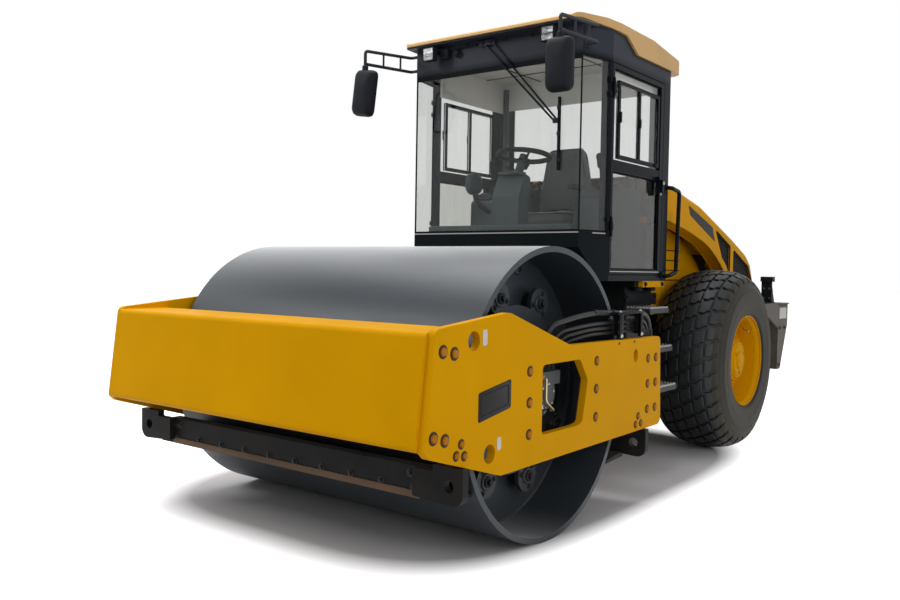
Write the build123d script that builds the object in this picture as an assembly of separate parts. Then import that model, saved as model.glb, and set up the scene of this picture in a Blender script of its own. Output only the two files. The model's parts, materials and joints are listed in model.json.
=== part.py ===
from build123d import *
from math import cos, radians, sin, tan
import os

os.makedirs("parts", exist_ok=True)

# Single-drum road roller: an articulated soil compactor with a closed cab.
# Axes: +X is the machine's left, -Y is the way it drives, +Z is up.  Millimetres.
# The origin lies on the ground, in the middle of the machine's length and width.
# Front-frame places are given from the drum axis, rear-frame places from the wheel axis.

# ---- driving dimensions ----------------------------------------------------------
wheelbase = 2990            # drum axis to rear wheel axis
drum_to_pivot = 1495        # drum axis to the steering pivot
front_reach = 1165          # drum axis to the foremost edge of the front beam
tail_reach = 1610           # rear wheel axis to the rearmost edge of the tail box

# drum
drum_radius = 762
drum_width = 2130
drum_wall = 30
drum_gap = 55               # drum end to the inner face of a side plate
web_inset = 345             # drum end to the inner web
web_thickness = 25
web_hole_radius = 170
mount_circle = 510          # rubber mounts between the drive plate and the web
mount_count = 8
mount_start = 17            # angle of the first mount
mount_radius = 55
mount_length = 60
drive_plate_thickness = 25

# front frame
plate_thickness = 40
beam_sheet = 16
hole_radius = 43.5          # lifting holes in the side plates
fit_gap = 0.3               # between pieces that seat on each other

# drum supports and drive motor
motor_radius = 110
motor_flange = 150
support_window_edge = 12    # support frame's window beyond the side plate's
support_sheet = 30
hose_reach = 27.5           # middle of the hoses to the inner face of the side plate

# steering pivot
pivot_z = 750
pivot_half_height = 190
pivot_barrel_radius = 105
ear_thickness = 40
bearing_radius = 235
bearing_offset = 165        # pivot axis to the front face of the swing bearing
bearing_thickness = 30

# steering cylinders
rod_pin_x = 230             # rod eye on the yoke's arm
barrel_pin_x = 300          # barrel eye on the rear frame
barrel_pin_reach = 620      # behind the pivot
barrel_radius = 45
rod_radius = 25

# rear frame
rail_outer_x = 430
rail_thickness = 20
rail_top_z = 1120
rail_low_z = 880            # underside of the rails over the axle
rail_foot_z = 520
bulkhead_reach = 880        # plate across the rails, behind the pivot

# rear wheels
tyre_radius = 712
tyre_width = 580
tyre_gap = 70               # rail to tyre
rim_radius = 357
rim_width = 540
axle_radius = 120
hub_radius = 95
axle_case_x = 420           # half length of the axle's thick middle case
bulge_radius = 210          # the case round the differential gears

# cab, from the wheel axis
cab_front = -2044
cab_bend = -1755            # where the slanted corner window meets the door plane
cab_rear = -850
cab_front_x = 670
cab_side_x = 735
cab_floor_z = 1335
cab_floor = 40
sill_z = 1646
glass_top_z = 2755
header_z = 2940
post = 60
glass_thickness = 6
seal_gap = 2                # between two panes that meet edge to edge

# doors
door_front = -1750
door_rear = -955
door_low_z = 1380
door_top_z = 2745
door_thickness = 40
door_front_stile = 28
door_rear_stile = 48
door_rail = 32
door_gap = 6
mid_rail_low = 2050
mid_rail_high = 2120
slider_front = -1650        # sliding window in the upper half of a door
slider_rear = -1015
slider_low = 2140
slider_high = 2650
slider_bar = 26

# roof
roof_overhang = 20          # roof edge beyond the cab's sides
roof_front = -2155
roof_rear = -690
roof_skirt_height = 22
roof_edge = 16              # thickness of the cap's edge round the skirt

# hood
hood_front = -800
hood_sheet = 12
hood_half_top = 565
hood_half_low = 615
hood_edge_radius = 45
lip_half = 700              # arch lip over a tyre, from the middle of the machine
lip_width = 58
lip_edge_radius = 16
hood_top_z = 2120
knuckle_radius = 12

# worked out from the above
drum_y = -(wheelbase + tail_reach - front_reach) / 2
pivot_y = drum_y + drum_to_pivot
axle_y = drum_y + wheelbase
drum_z = drum_radius
half_drum = drum_width / 2
plate_inner_x = half_drum + drum_gap
plate_outer_x = plate_inner_x + plate_thickness
wheel_x = rail_outer_x + tyre_gap + tyre_width / 2
hood_low_z = rail_top_z + 10 + fit_gap


# ---- small helpers ---------------------------------------------------------------
def block(x0, x1, y0, y1, z0, z1):
    """A box between two corners."""
    return Pos((x0 + x1) / 2, (y0 + y1) / 2, (z0 + z1) / 2) * Box(x1 - x0, y1 - y0, z1 - z0)


def rod(start, end, radius):
    """A round bar from one point to another."""
    axis = Vector(end) - Vector(start)
    plane = Plane(origin=start, z_dir=axis)
    return extrude(plane * Circle(radius), axis.length)


def ring(start, end, radius, bore):
    """A round tube from one point to another."""
    axis = Vector(end) - Vector(start)
    plane = Plane(origin=start, z_dir=axis)
    return extrude(plane * (Circle(radius) - Circle(bore)), axis.length)


def rounded(points):
    """A flat shape from rows of (across, up, corner radius)."""
    corners = [(a, b) for a, b, _ in points]
    return make_face(FilletPolyline(*corners, radius=[r for _, _, r in points], close=True))


def flat(points):
    """A flat shape from rows of (across, up), with sharp corners."""
    return make_face(Polyline(*points, close=True))


def side_slab(face, x0, x1):
    """A shape drawn in (Y, Z) made solid between two X places."""
    return extrude(Plane.YZ.offset(x0) * face, x1 - x0)


def front_slab(face, y0, y1):
    """A shape drawn in (X, Z) made solid between two Y places."""
    return extrude(Plane.XZ.offset(-y1) * face, y1 - y0)


def floor_slab(face, z0, z1):
    """A shape drawn in (X, Y) made solid between two heights."""
    return extrude(Plane.XY.offset(z0) * face, z1 - z0)


def sheet(line, thickness):
    """The section of a bent sheet whose middle follows a line."""
    return trace(line, line_width=thickness)


def bent_bar(points, bend, radius):
    """A round bar along straight runs joined by bends."""
    line = FilletPolyline(*points, radius=bend)
    return sweep(Plane(line @ 0, z_dir=line % 0) * Circle(radius), path=line)


def easy_bends(points):
    """The largest bend radii that the runs of a hose leave room for."""
    places = [Vector(*p) for p in points]
    radii = []
    for before, here, after in zip(places, places[1:], places[2:]):
        run_in = here - before
        run_out = after - here
        turn = radians(run_in.get_angle(run_out))
        radii.append(0.45 * min(run_in.length, run_out.length) / tan(turn / 2))
    return radii


def both_sides(shape):
    """A piece and its mirror image on the other side of the machine."""
    return [shape, mirror(shape, Plane.YZ)]


def solids_of(shape):
    return list(shape.solids()) if hasattr(shape, "solids") else list(shape)


def save(name, *shapes):
    """Write one node, made of solids that don't touch."""
    found = []
    for shape in shapes:
        found += solids_of(shape)
    part = found[0] if len(found) == 1 else Compound(children=found)
    part.label = name
    export_step(part, f"parts/{name}.step")


def from_drum(rows):
    """Rows of (y from the drum axis, z, radius) moved to the machine's frame."""
    return [(y + drum_y, z, r) for y, z, r in rows]


def from_axle(rows):
    """Rows of (y from the wheel axis, z, radius) moved to the machine's frame."""
    return [(y + axle_y, z, r) for y, z, r in rows]


def around(count, radius, start=0.0):
    """Places on a circle in the (Y, Z) plane round the drum axis."""
    for i in range(count):
        a = radians(start + 360 * i / count)
        yield drum_y + radius * cos(a), drum_z + radius * sin(a)


# ---- front frame -----------------------------------------------------------------
# outline of a side plate: y from the drum axis, z, corner radius
plate_outline = [
    (-1090, 1150, 35),
    (-545, 1204, 90),
    (15, 1021, 150),
    (1110, 1010, 35),
    (1140, 472, 45),
    (-600, 462, 70),
    (-1118, 619, 25),
    (-1150, 650, 15),
]
window_outline = [
    (-250, 597, 25),
    (-250, 940, 25),
    (120, 940, 30),
    (205, 827, 30),
    (155, 606, 30),
    (90, 597, 25),
]
lifting_holes = [(-822, 1089), (-691, 575)]     # y from the drum axis, z
slot_place = (775, 912)


def side_plate():
    plate = rounded(from_drum(plate_outline)) - rounded(from_drum(window_outline))
    for y, z in lifting_holes:
        plate -= Pos(y + drum_y, z) * Circle(hole_radius)
    plate -= Pos(slot_place[0] + drum_y, slot_place[1]) * SlotOverall(50, 25, rotation=90)
    return side_slab(plate, plate_inner_x, plate_outer_x)


def plate_low_at(y):
    """Height of the side plate's lower edge at a distance from the drum axis."""
    front_part = y < plate_outline[5][0]
    (y0, z0, _), (y1, z1, _) = plate_outline[6:4:-1] if front_part else plate_outline[5:3:-1]
    return z0 + (y - y0) * (z1 - z0) / (y1 - y0)


def plate_top_at(y):
    """Height of the side plate's rear upper edge at a distance from the drum axis."""
    (y0, z0, _), (y1, z1, _) = plate_outline[2:4]
    return z0 + (y - y0) * (z1 - z0) / (y1 - y0)


beam_top_z = 1131
beam_low_z = 655
beam_lean = 60              # how far the face slants back at its top
beam_flange_y = -790        # rear edge of the top flange, from the drum axis
beam_lip = 110              # bottom lip, its depth and drop
beam_lip_drop = 22
beam_bend = 22
beam_ribs = (-700, 0, 700)  # stiffening ribs behind the face
rib_sheet = 14


def front_beam():
    """A bent sheet between the plates, with a top flange, a bottom lip and inner ribs."""
    half = beam_sheet / 2
    face_low_y = drum_y - front_reach + half
    face_top_y = face_low_y + beam_lean
    line = FilletPolyline(
        (drum_y + beam_flange_y, beam_top_z),
        (face_top_y, beam_top_z),
        (face_low_y, beam_low_z),
        (face_low_y + beam_lip, beam_low_z - beam_lip_drop),
        radius=beam_bend,
    )
    beam = side_slab(sheet(line, beam_sheet), -plate_inner_x, plate_inner_x)
    rib = flat([
        (face_top_y, beam_top_z - half + 1), (drum_y + beam_flange_y, beam_top_z - half + 1),
        (drum_y + beam_flange_y - 60, beam_top_z - 60), (face_low_y + beam_lip, beam_low_z + 20),
        (face_low_y + beam_lip - 20, beam_low_z), (face_low_y + half - 1, beam_low_z)])
    for x in beam_ribs:
        beam += side_slab(rib, x - rib_sheet / 2, x + rib_sheet / 2)
    return beam


cross_front = 985           # rear cross beam, behind the drum axis
cross_rear = 1120
cross_low_z = 560
cross_top_z = 900
tongue_half = 215
tongue_rise = 20            # tongue's underside above the beam's
bearing_face_y = pivot_y - bearing_offset
gusset_x = 90               # gussets on top of the tongue
gusset_sheet = 18


def rear_cross_beam():
    """The box beam behind the drum, with the tongue and flange of the swing bearing."""
    beam = block(-plate_inner_x, plate_inner_x, drum_y + cross_front, drum_y + cross_rear,
                 cross_low_z, cross_top_z)
    tongue_end = bearing_face_y - bearing_thickness - fit_gap
    tongue = block(-tongue_half, tongue_half, drum_y + cross_rear, tongue_end,
                   cross_low_z + tongue_rise, cross_top_z)
    flange = rod((0, tongue_end, pivot_z), (0, bearing_face_y - fit_gap, pivot_z), bearing_radius)
    gusset = flat([(drum_y + cross_front + 20, cross_top_z - 1), (tongue_end + 1, cross_top_z - 1),
                   (tongue_end + 1, cross_top_z + 55)])
    beam += tongue + flange
    for x in (-gusset_x, gusset_x):
        beam += side_slab(gusset, x - gusset_sheet / 2, x + gusset_sheet / 2)
    return beam


scraper_y = 880             # scraper bars, ahead of and behind the drum axis
scraper_bar = 60
scraper_height = 123
scraper_end = 180           # bar end to the inner face of a side plate
blade_end = 25              # blade end to the drum's end
blade_tip = 6               # blade edge to the drum
blade_drop = 40
blade_edge = 14

# tie-down lugs under the side plates, measured down from the lug's top
lug_outer = 25              # beyond the side plate's outer face
lug_inner = 215             # inside the side plate's inner face
lug_step_inner = 100
lug_hole = 52               # hole to the side plate's outer face
lug_hole_drop = 85
lug_hole_radius = 28
lug_height = 170
lug_step = 30
lug_thickness = 40


def drum_y_at(z, gap):
    """Distance of the drum's surface from its axis plane at a height, plus a gap."""
    return ((drum_radius + gap) ** 2 - (drum_z - z) ** 2) ** 0.5


def lug(y0, top):
    low = top - lug_height
    outer, inner = plate_outer_x + lug_outer, plate_inner_x - lug_inner
    step_x = plate_inner_x - lug_step_inner
    face = rounded([
        (outer, top, 0), (outer, low, 55), (inner, low + 15, 8),
        (inner, top - lug_step, 8), (step_x, top - lug_step, 8), (step_x, top, 0),
    ])
    face -= Pos(plate_outer_x - lug_hole, top - lug_hole_drop) * Circle(lug_hole_radius)
    return front_slab(face, y0, y0 + lug_thickness)


def scraper(s, top):
    """A bar with a wear blade that reaches to the drum, ahead (-1) or behind (1) of it."""
    low = top - scraper_height
    near, far = scraper_y - scraper_bar, scraper_y
    half_bar = plate_inner_x - scraper_end
    half_blade = half_drum - blade_end
    bar = rounded([(drum_y + s * y, z, 4) for y, z in
                   ((far, low), (far, top), (near, top), (near, low))])
    tip_z = low - blade_drop
    blade = flat([(drum_y + s * y, z) for y, z in (
        (far, low - fit_gap), (near, low - fit_gap),
        (drum_y_at(tip_z + blade_edge, blade_tip), tip_z + blade_edge),
        (drum_y_at(tip_z, blade_tip), tip_z), (far, low - 24))])
    return side_slab(bar, -half_bar, half_bar), side_slab(blade, -half_blade, half_blade)


left_plate = side_plate()
save("side_plate_left", left_plate)
save("side_plate_right", mirror(left_plate, Plane.YZ))
save("front_beam", front_beam())
save("rear_cross_beam", rear_cross_beam())

lugs = []
for name, s in (("front", -1), ("rear", 1)):
    y0, y1 = sorted((s * scraper_y, s * (scraper_y + lug_thickness)))
    top = min(plate_low_at(y0), plate_low_at(y1)) - fit_gap
    save(f"{name}_scraper", *scraper(s, top - lug_step))
    lugs += both_sides(lug(drum_y + y0, top))
save("tie_down_lugs", *lugs)

# ---- drum ------------------------------------------------------------------------
web_x = half_drum - web_inset
plate_x = web_x + web_thickness + mount_length + 2 * fit_gap
motor_x = plate_x + drive_plate_thickness


def drum_shell():
    shell = ring((-half_drum, drum_y, drum_z), (half_drum, drum_y, drum_z),
                 drum_radius, drum_radius - drum_wall)
    for s in (-1, 1):
        x0, x1 = sorted((s * web_x, s * (web_x + web_thickness)))
        shell += ring((x0, drum_y, drum_z), (x1, drum_y, drum_z),
                      drum_radius - drum_wall, web_hole_radius)
    return shell


lobe_radius = 88
lobe_neck = 60              # plate's disc inside the circle of the mounts
hand_holes = 4
hand_hole_circle = 290


def drive_plate():
    """The lobed plate that the motor turns, one lobe at each rubber mount."""
    disc = Circle(mount_circle - lobe_neck)
    for y, z in around(mount_count, mount_circle, mount_start):
        disc += Pos(y - drum_y, z - drum_z) * Circle(lobe_radius)
    for y, z in around(hand_holes, hand_hole_circle, mount_start):
        disc -= Pos(y - drum_y, z - drum_z) * Circle(60)
    return side_slab(Pos(drum_y, drum_z) * disc, plate_x, motor_x)


def rubber_mounts():
    for y, z in around(mount_count, mount_circle, mount_start):
        yield rod((web_x + web_thickness + fit_gap, y, z), (plate_x - fit_gap, y, z), mount_radius)


save("drum_shell", drum_shell())
save("drive_plate", drive_plate())
save("rubber_mounts", *rubber_mounts())

carrier_x = motor_x + 85    # plane of the motor's flange
carrier_sheet = 25
carrier_radius = 275
leg_size = (50, 44)         # legs of the carrier, along y and z
leg_places = ((-185, 222), (175, 222), (-185, -222), (175, -222))
axle_stub = 60              # plain support's hub to the web


def drum_supports():
    """Frames bolted inside the side plates, whose legs hold the drum's motor and bearing."""
    inner = plate_inner_x - fit_gap
    outline = [(-330, 520, 20), (-330, 1004, 20), (290, 1004, 20), (290, 520, 20)]
    edge = support_window_edge
    window = flat([(y + (edge if y > 0 else -edge), z + (edge if z > drum_z else -edge))
                   for y, z, _ in from_drum(window_outline)])
    frame = side_slab(rounded(from_drum(outline)) - window, inner - support_sheet, inner)
    carrier = ring((carrier_x, drum_y, drum_z), (carrier_x + carrier_sheet, drum_y, drum_z),
                   carrier_radius, motor_radius + 1)
    for y, z in leg_places:
        frame += block(carrier_x + 1, inner - support_sheet + 1, drum_y + y - leg_size[0] / 2,
                       drum_y + y + leg_size[0] / 2, drum_z + z - leg_size[1] / 2,
                       drum_z + z + leg_size[1] / 2)
    yield frame + carrier
    plain = side_slab(rounded(from_drum(outline)), -inner, -(inner - support_sheet))
    yield plain + rod((-(web_x + web_thickness + axle_stub), drum_y, drum_z),
                      (-inner, drum_y, drum_z), 120)


port_x = plate_inner_x - 110
port_top_z = drum_z + 112
port_block = (25, -75, 130, 70)     # half width, front, rear, height

# hoses: height in the clamp, radius, where it turns down, port, rear end (y from the drum axis)
hose_rows = [
    (1146, 15, -55, -40, 1094),
    (1109, 11, 40, 5, 1061),
    (1081, 11, 88, 48, 1031),
    (1053, 11, 130, 92, 1001),
]
hose_x = plate_inner_x - hose_reach
hose_turn_y = 330
hose_rise = 26


def drum_motor():
    """The drum's drive motor: gear case, flange, body and a block of hose ports."""
    body = rod((motor_x + fit_gap, drum_y, drum_z), (carrier_x + carrier_sheet + 60, drum_y, drum_z),
               motor_radius)
    body += rod((carrier_x + carrier_sheet + fit_gap, drum_y, drum_z),
                (carrier_x + carrier_sheet + 30, drum_y, drum_z), motor_flange)
    half, front, rear, height = port_block
    body += rod((carrier_x + carrier_sheet + 59, drum_y, drum_z), (port_x + half, drum_y, drum_z), 80)
    body += block(port_x - half, port_x + half, drum_y + front, drum_y + rear,
                  port_top_z - height, port_top_z)
    return body


def drum_hoses():
    """Hoses from the motor's ports over the plate's edge to the rear cross beam."""
    for z, radius, turn_y, end_y, rear_y in hose_rows:
        rise = hose_rise if z == hose_rows[0][0] else 0
        route = [
            (hose_x, drum_y + rear_y, cross_top_z + fit_gap),
            (hose_x, drum_y + rear_y, z),
            (hose_x, drum_y + hose_turn_y, z + rise),
            (hose_x - 25, drum_y + turn_y, z - 30),
            (port_x, drum_y + end_y, port_top_z + 70),
            (port_x, drum_y + end_y, port_top_z + fit_gap),
        ]
        yield bent_bar(route, easy_bends(route), radius)


save("drum_supports", *drum_supports())
save("drum_motor", drum_motor())
save("drum_hoses", *drum_hoses())
save("drum_axle",
     rod((-(web_x + web_thickness + axle_stub - fit_gap), drum_y, drum_z),
         (-(web_x - 40), drum_y, drum_z), web_hole_radius - fit_gap))

# the clamp that holds the hoses on the rear of the left plate
clamp_posts = (600, 860)
clamp_post_half = 14
clamp_top_z = 1170


def hose_bracket():
    bar_x = hose_x + hose_rows[0][1] + fit_gap
    for y in clamp_posts:
        yield block(plate_inner_x + 6, plate_outer_x - 6, drum_y + y - clamp_post_half,
                    drum_y + y + clamp_post_half,
                    plate_top_at(y - clamp_post_half) + fit_gap, clamp_top_z)
    yield block(bar_x, plate_inner_x + 6 - fit_gap, drum_y + clamp_posts[0] - 20,
                drum_y + clamp_posts[1] + 20, hose_rows[3][0] - 20, clamp_top_z - 5)


save("hose_bracket", *hose_bracket())

# ---- steering pivot ----------------------------------------------------------------
arm_z = 45                  # half the gap between the arm's ears
arm_thickness = 30
arm_eye_radius = 50
neck_half = 90


def pivot_yoke():
    low, high = pivot_z - pivot_half_height, pivot_z + pivot_half_height
    barrel = rod((0, pivot_y, low), (0, pivot_y, high), pivot_barrel_radius)
    neck = block(-neck_half, neck_half, bearing_face_y + bearing_thickness, pivot_y,
                 low + 20, high - 20)
    flange = rod((0, bearing_face_y, pivot_z), (0, bearing_face_y + bearing_thickness, pivot_z),
                 bearing_radius)
    body = barrel + neck + flange
    for s in (1, -1):
        for z in (pivot_z - arm_z - arm_thickness, pivot_z + arm_z):
            arm = flat([(0, -60), (s * rod_pin_x, -45), (s * rod_pin_x, 45), (0, 60)])
            arm += Pos(s * rod_pin_x, 0) * Circle(arm_eye_radius)
            body += floor_slab(Pos(0, pivot_y) * arm, z, z + arm_thickness)
    return body


save("pivot_yoke", pivot_yoke())

barrel_length = 370         # from the barrel's pin
barrel_bottom = 90
rod_foot = 225              # inner end of the rod, from the barrel's pin
pin_radius = 25


def cylinder(s):
    """One steering cylinder, as a barrel and a rod, along its own line."""
    eye = Vector(s * rod_pin_x, pivot_y, pivot_z)
    root = Vector(s * barrel_pin_x, pivot_y + barrel_pin_reach, pivot_z)
    way = (eye - root).normalized()
    eye_half = Vector(0, 0, arm_z - 1)
    mouth = root + way * barrel_length
    barrel = rod(root + way * 50, mouth, barrel_radius)
    barrel += rod(mouth - way * 40, mouth, barrel_radius + 8)
    barrel += rod(root - eye_half, root + eye_half, 55)
    barrel -= rod(root + way * barrel_bottom, mouth + way * 10, rod_radius + 1)
    barrel -= rod(root - eye_half * 2, root + eye_half * 2, pin_radius + 1)
    shaft = rod(root + way * rod_foot, eye - way * 30, rod_radius)
    shaft += rod(eye - eye_half, eye + eye_half, 45)
    return barrel, shaft


for side, s in (("left", 1), ("right", -1)):
    barrel, shaft = cylinder(s)
    save(f"steering_barrel_{side}", barrel)
    save(f"steering_rod_{side}", shaft)

# ---- rear frame --------------------------------------------------------------------
tail_y = 1310               # rear end of the rails, from the wheel axis
rail_front_y = pivot_y + 305 - axle_y
# side rail: y from the wheel axis, z, corner radius
rail_outline = [
    (rail_front_y, rail_foot_z, 20), (rail_front_y, rail_top_z, 20), (tail_y, rail_top_z, 0),
    (tail_y, 700, 20), (770, 700, 40), (490, rail_low_z, 60), (-430, rail_low_z, 60),
    (-590, rail_foot_z, 60),
]
ear_low_z = pivot_z - pivot_half_height - ear_thickness - fit_gap
ear_high_z = pivot_z + pivot_half_height + fit_gap
cross_sheet = 40


def rear_frame():
    """Two rails joined by the pivot's ears, a bulkhead and cross members."""
    inner = rail_outer_x - rail_thickness
    rails = side_slab(rounded(from_axle(rail_outline)), inner, rail_outer_x)
    frame = rails + mirror(rails, Plane.YZ)
    for z in (ear_low_z, ear_high_z):
        web = flat([(-inner, 330), (-inner, bulkhead_reach), (inner, bulkhead_reach),
                    (inner, 330), (110, 0), (-110, 0)]) + Circle(120)
        frame += floor_slab(Pos(0, pivot_y) * web, z, z + ear_thickness)
    bulkhead = pivot_y + bulkhead_reach
    frame += block(-inner, inner, bulkhead - cross_sheet, bulkhead, ear_low_z, ear_high_z)
    barrel_y = pivot_y + barrel_pin_reach
    for s in (-1, 1):
        frame += block(*sorted((s * 90, s * 110)), pivot_y + 200, bulkhead - cross_sheet,
                       ear_low_z + ear_thickness, ear_high_z)
        frame += rod((s * barrel_pin_x, barrel_y, ear_low_z + ear_thickness),
                     (s * barrel_pin_x, barrel_y, ear_high_z), pin_radius)
    for y, low in ((-490, 940), (tail_y - cross_sheet, 760)):
        frame += block(-inner, inner, axle_y + y, axle_y + y + cross_sheet, low, rail_top_z)
    return frame


save("rear_frame", rear_frame())

hub_reach = 84              # axle end beyond the middle of the wheel
pad_half = (50, 90)         # spring pads between axle and rails, along x and y


def rear_axle():
    """The axle: a turned case with a bulge for the gears, on pads under the rails."""
    hub_x = wheel_x + hub_reach
    case = [(-hub_x, hub_radius - fit_gap, 0), (-axle_case_x, hub_radius - fit_gap, 0),
            (-axle_case_x, axle_radius, 10), (-bulge_radius - 30, axle_radius, 120),
            (-110, bulge_radius, 120)]
    case += [(-x, r, f) for x, r, f in reversed(case)]
    section = rounded(case + [(hub_x, 0, 0), (-hub_x, 0, 0)])
    axle = Pos(0, axle_y, tyre_radius) * revolve(Plane.XZ * section, Axis.X)
    pad_x = rail_outer_x - rail_thickness - 40
    for s in (1, -1):
        axle += block(s * pad_x - pad_half[0], s * pad_x + pad_half[0], axle_y - pad_half[1],
                      axle_y + pad_half[1], tyre_radius, rail_low_z - fit_gap)
    return axle


save("rear_axle", rear_axle())


def engine_block():
    """The engine and cooling pack as one mass, on feet that stand on the rails."""
    half = rail_outer_x - 100
    foot = rail_top_z + fit_gap
    engine = block(-half, half, axle_y - 240, axle_y + 960, foot, 1560)
    for y in (-140, 760):
        engine += block(-rail_outer_x, rail_outer_x, axle_y + y, axle_y + y + 100, foot, foot + 50)
    return engine


save("engine_block", engine_block())

tail_top_z = 1130
tail_half = 900
tail_flange = 12            # top plate of the tail box and how far it stands out
tail_outline = [
    (tail_y + fit_gap, 520, 0), (tail_y + fit_gap, tail_top_z - tail_flange, 0),
    (tail_reach - 18, tail_top_z - tail_flange, 0), (tail_reach - 18, 930, 20), (1400, 520, 20),
]
wing_outline = [(910, tail_top_z, 0), (tail_y + 1, tail_top_z, 0), (tail_y + 1, 900, 0),
                (910, 1060, 10)]
post_x = (722, 818)         # posts on the tail box
post_y = (1360, 1420)
post_top_z = 1370


def tail_box():
    """The rear counterweight with its top plate and side wings."""
    box = side_slab(rounded(from_axle(tail_outline)), -tail_half, tail_half)
    box += block(-tail_half - 10, tail_half + 10, axle_y + tail_y + fit_gap, axle_y + tail_reach,
                 tail_top_z - tail_flange, tail_top_z)
    wing = rounded(from_axle(wing_outline))
    for x in (-tail_half, tail_half - 20):
        box += side_slab(wing, x, x + 20)
    return box


def rear_post():
    """A lamp post: a plate between two gussets, under a cap."""
    x0, x1 = post_x
    y0, y1 = axle_y + post_y[0], axle_y + post_y[1]
    foot = tail_top_z + fit_gap
    face = rounded([(x0, foot, 0), (x0, post_top_z, 6), (x1, post_top_z, 6), (x1, foot, 0)])
    shape = front_slab(face, y0, y0 + 12)
    gusset = flat([(y0, foot), (y1 + 30, foot), (y0, post_top_z - 60)])
    for x in (x0, x1 - 12):
        shape += side_slab(gusset, x, x + 12)
    return shape + block(x0 - 8, x1 + 8, y0 - 8, y1, post_top_z - 45, post_top_z)


save("tail_box", tail_box())
save("rear_posts", *both_sides(rear_post()))

# ---- wheels ------------------------------------------------------------------------
def tyre(s):
    half = tyre_width / 2
    bead = rim_width / 2
    section = rounded([
        (rim_radius + fit_gap, -bead + 2, 8), (rim_radius + 40, -half + 8, 30),
        (tyre_radius - 130, -half, 90), (tyre_radius - 12, -half + 60, 40),
        (tyre_radius, 0, 900), (tyre_radius - 12, half - 60, 40),
        (tyre_radius - 130, half, 90), (rim_radius + 40, half - 8, 30),
        (rim_radius + fit_gap, bead - 2, 8),
    ])
    body = revolve(Plane.XZ * Pos(0, 0) * section, Axis.Z)
    return Pos(s * wheel_x, axle_y, tyre_radius) * Rot(0, 90, 0) * body


rim_wall = 14
disc_place = (60, 88)       # wheel disc, outward from the middle of the tyre
cap_radius = 168            # planetary hub cap
cap_reach = 205
disc_holes = 6
disc_hole_circle = 225


def rim(s):
    """A deep dished rim with holes in its disc and the hub cap of the final drive."""
    half = rim_width / 2
    d0, d1 = disc_place
    section = rounded([
        (hub_radius, d0, 0), (hub_radius, d1 + 12, 0), (0, d1 + 12, 0), (0, cap_reach, 0),
        (cap_radius - 28, cap_reach, 8), (cap_radius - 18, cap_reach - 16, 4),
        (cap_radius, cap_reach - 20, 6), (cap_radius + 6, d1, 12),
        (rim_radius - rim_wall - 30, d1, 14), (rim_radius - rim_wall - 12, half - 40, 10),
        (rim_radius - 8, half - 14, 8), (rim_radius - 8, half, 4), (rim_radius, half, 4),
        (rim_radius, -half, 4), (rim_radius - rim_wall, -half, 4),
        (rim_radius - rim_wall - 12, d0, 12),
    ])
    body = revolve(Plane.XZ * section, Axis.Z)
    for i in range(disc_holes):
        turn = Rot(0, 0, 360 * (i + 0.5) / disc_holes)
        hole = turn * Pos(disc_hole_circle, 0, d0 - 1) * SlotOverall(84, 44, rotation=90)
        body -= extrude(hole, d1 - d0 + 2)
    return Pos(s * wheel_x, axle_y, tyre_radius) * Rot(0, s * 90, 0) * body


for side, s in (("left", 1), ("right", -1)):
    save(f"tyre_{side}", tyre(s))
    save(f"rim_{side}", rim(s))

# ---- cab ---------------------------------------------------------------------------
front_y = axle_y + cab_front
bend_y = axle_y + cab_bend
rear_y = axle_y + cab_rear
slant = (cab_side_x - cab_front_x) / (bend_y - front_y)     # of the corner walls, in plan
beyond = 100                # cutting shapes reach this far past the cab


def wall_x(y):
    """Outer face of the slanted corner wall at a place along the machine."""
    return cab_front_x + (y - front_y) * slant


def cab_plan(inset):
    """The cab's outline seen from above, inside its outer faces by an inset."""
    half = [(cab_front_x - inset, front_y + inset), (cab_side_x - inset, bend_y),
            (cab_side_x - inset, rear_y - inset)]
    return flat([(-x, y) for x, y in half] + [(x, y) for x, y in reversed(half)])


door_outer_x = cab_side_x
door_inner_x = cab_side_x - door_thickness
door_pin_x = cab_side_x + 10
door_pin_y = axle_y + door_front
hinge_heights = (1690, 2585)
door_knuckle_radius = 9.5
knuckle_half = 30
leaf_reach = 40
leaf_sheet = 6


def knuckle(z0, z1, leaf):
    """A hinge barrel on its leaf, drawn from above."""
    barrel = rod((door_pin_x, door_pin_y, z0), (door_pin_x, door_pin_y, z1), door_knuckle_radius)
    return barrel + floor_slab(flat(leaf), z0, z1)


def door_hinges():
    """The cab's halves of the door hinges, whose leaves lie on the slanted corner wall."""
    face = cab_side_x + leaf_sheet
    far = door_pin_y - leaf_reach
    leaf = [(wall_x(y) + fit_gap, y) for y in (far, door_pin_y)] + [(face, door_pin_y), (face, far)]
    start, end = knuckle_half + fit_gap, knuckle_half * 2
    for z in hinge_heights:
        for z0, z1 in ((z - end, z - start), (z + start, z + end)):
            yield from both_sides(knuckle(z0, z1, leaf))


pane_inset = 22             # pane's outer face behind the door's
mid_ribs = 4                # grooves along the door's middle rail
groove = (7, 4)             # their height and depth
pane_y = (axle_y + door_front + door_front_stile, axle_y + door_rear - door_rear_stile)
lower_pane_z = (door_low_z + door_rail, mid_rail_low)
upper_pane_z = (mid_rail_high, door_top_z - door_rail)
slider_y = (axle_y + slider_front, axle_y + slider_rear)
slider_z = (slider_low, slider_high)


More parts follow.
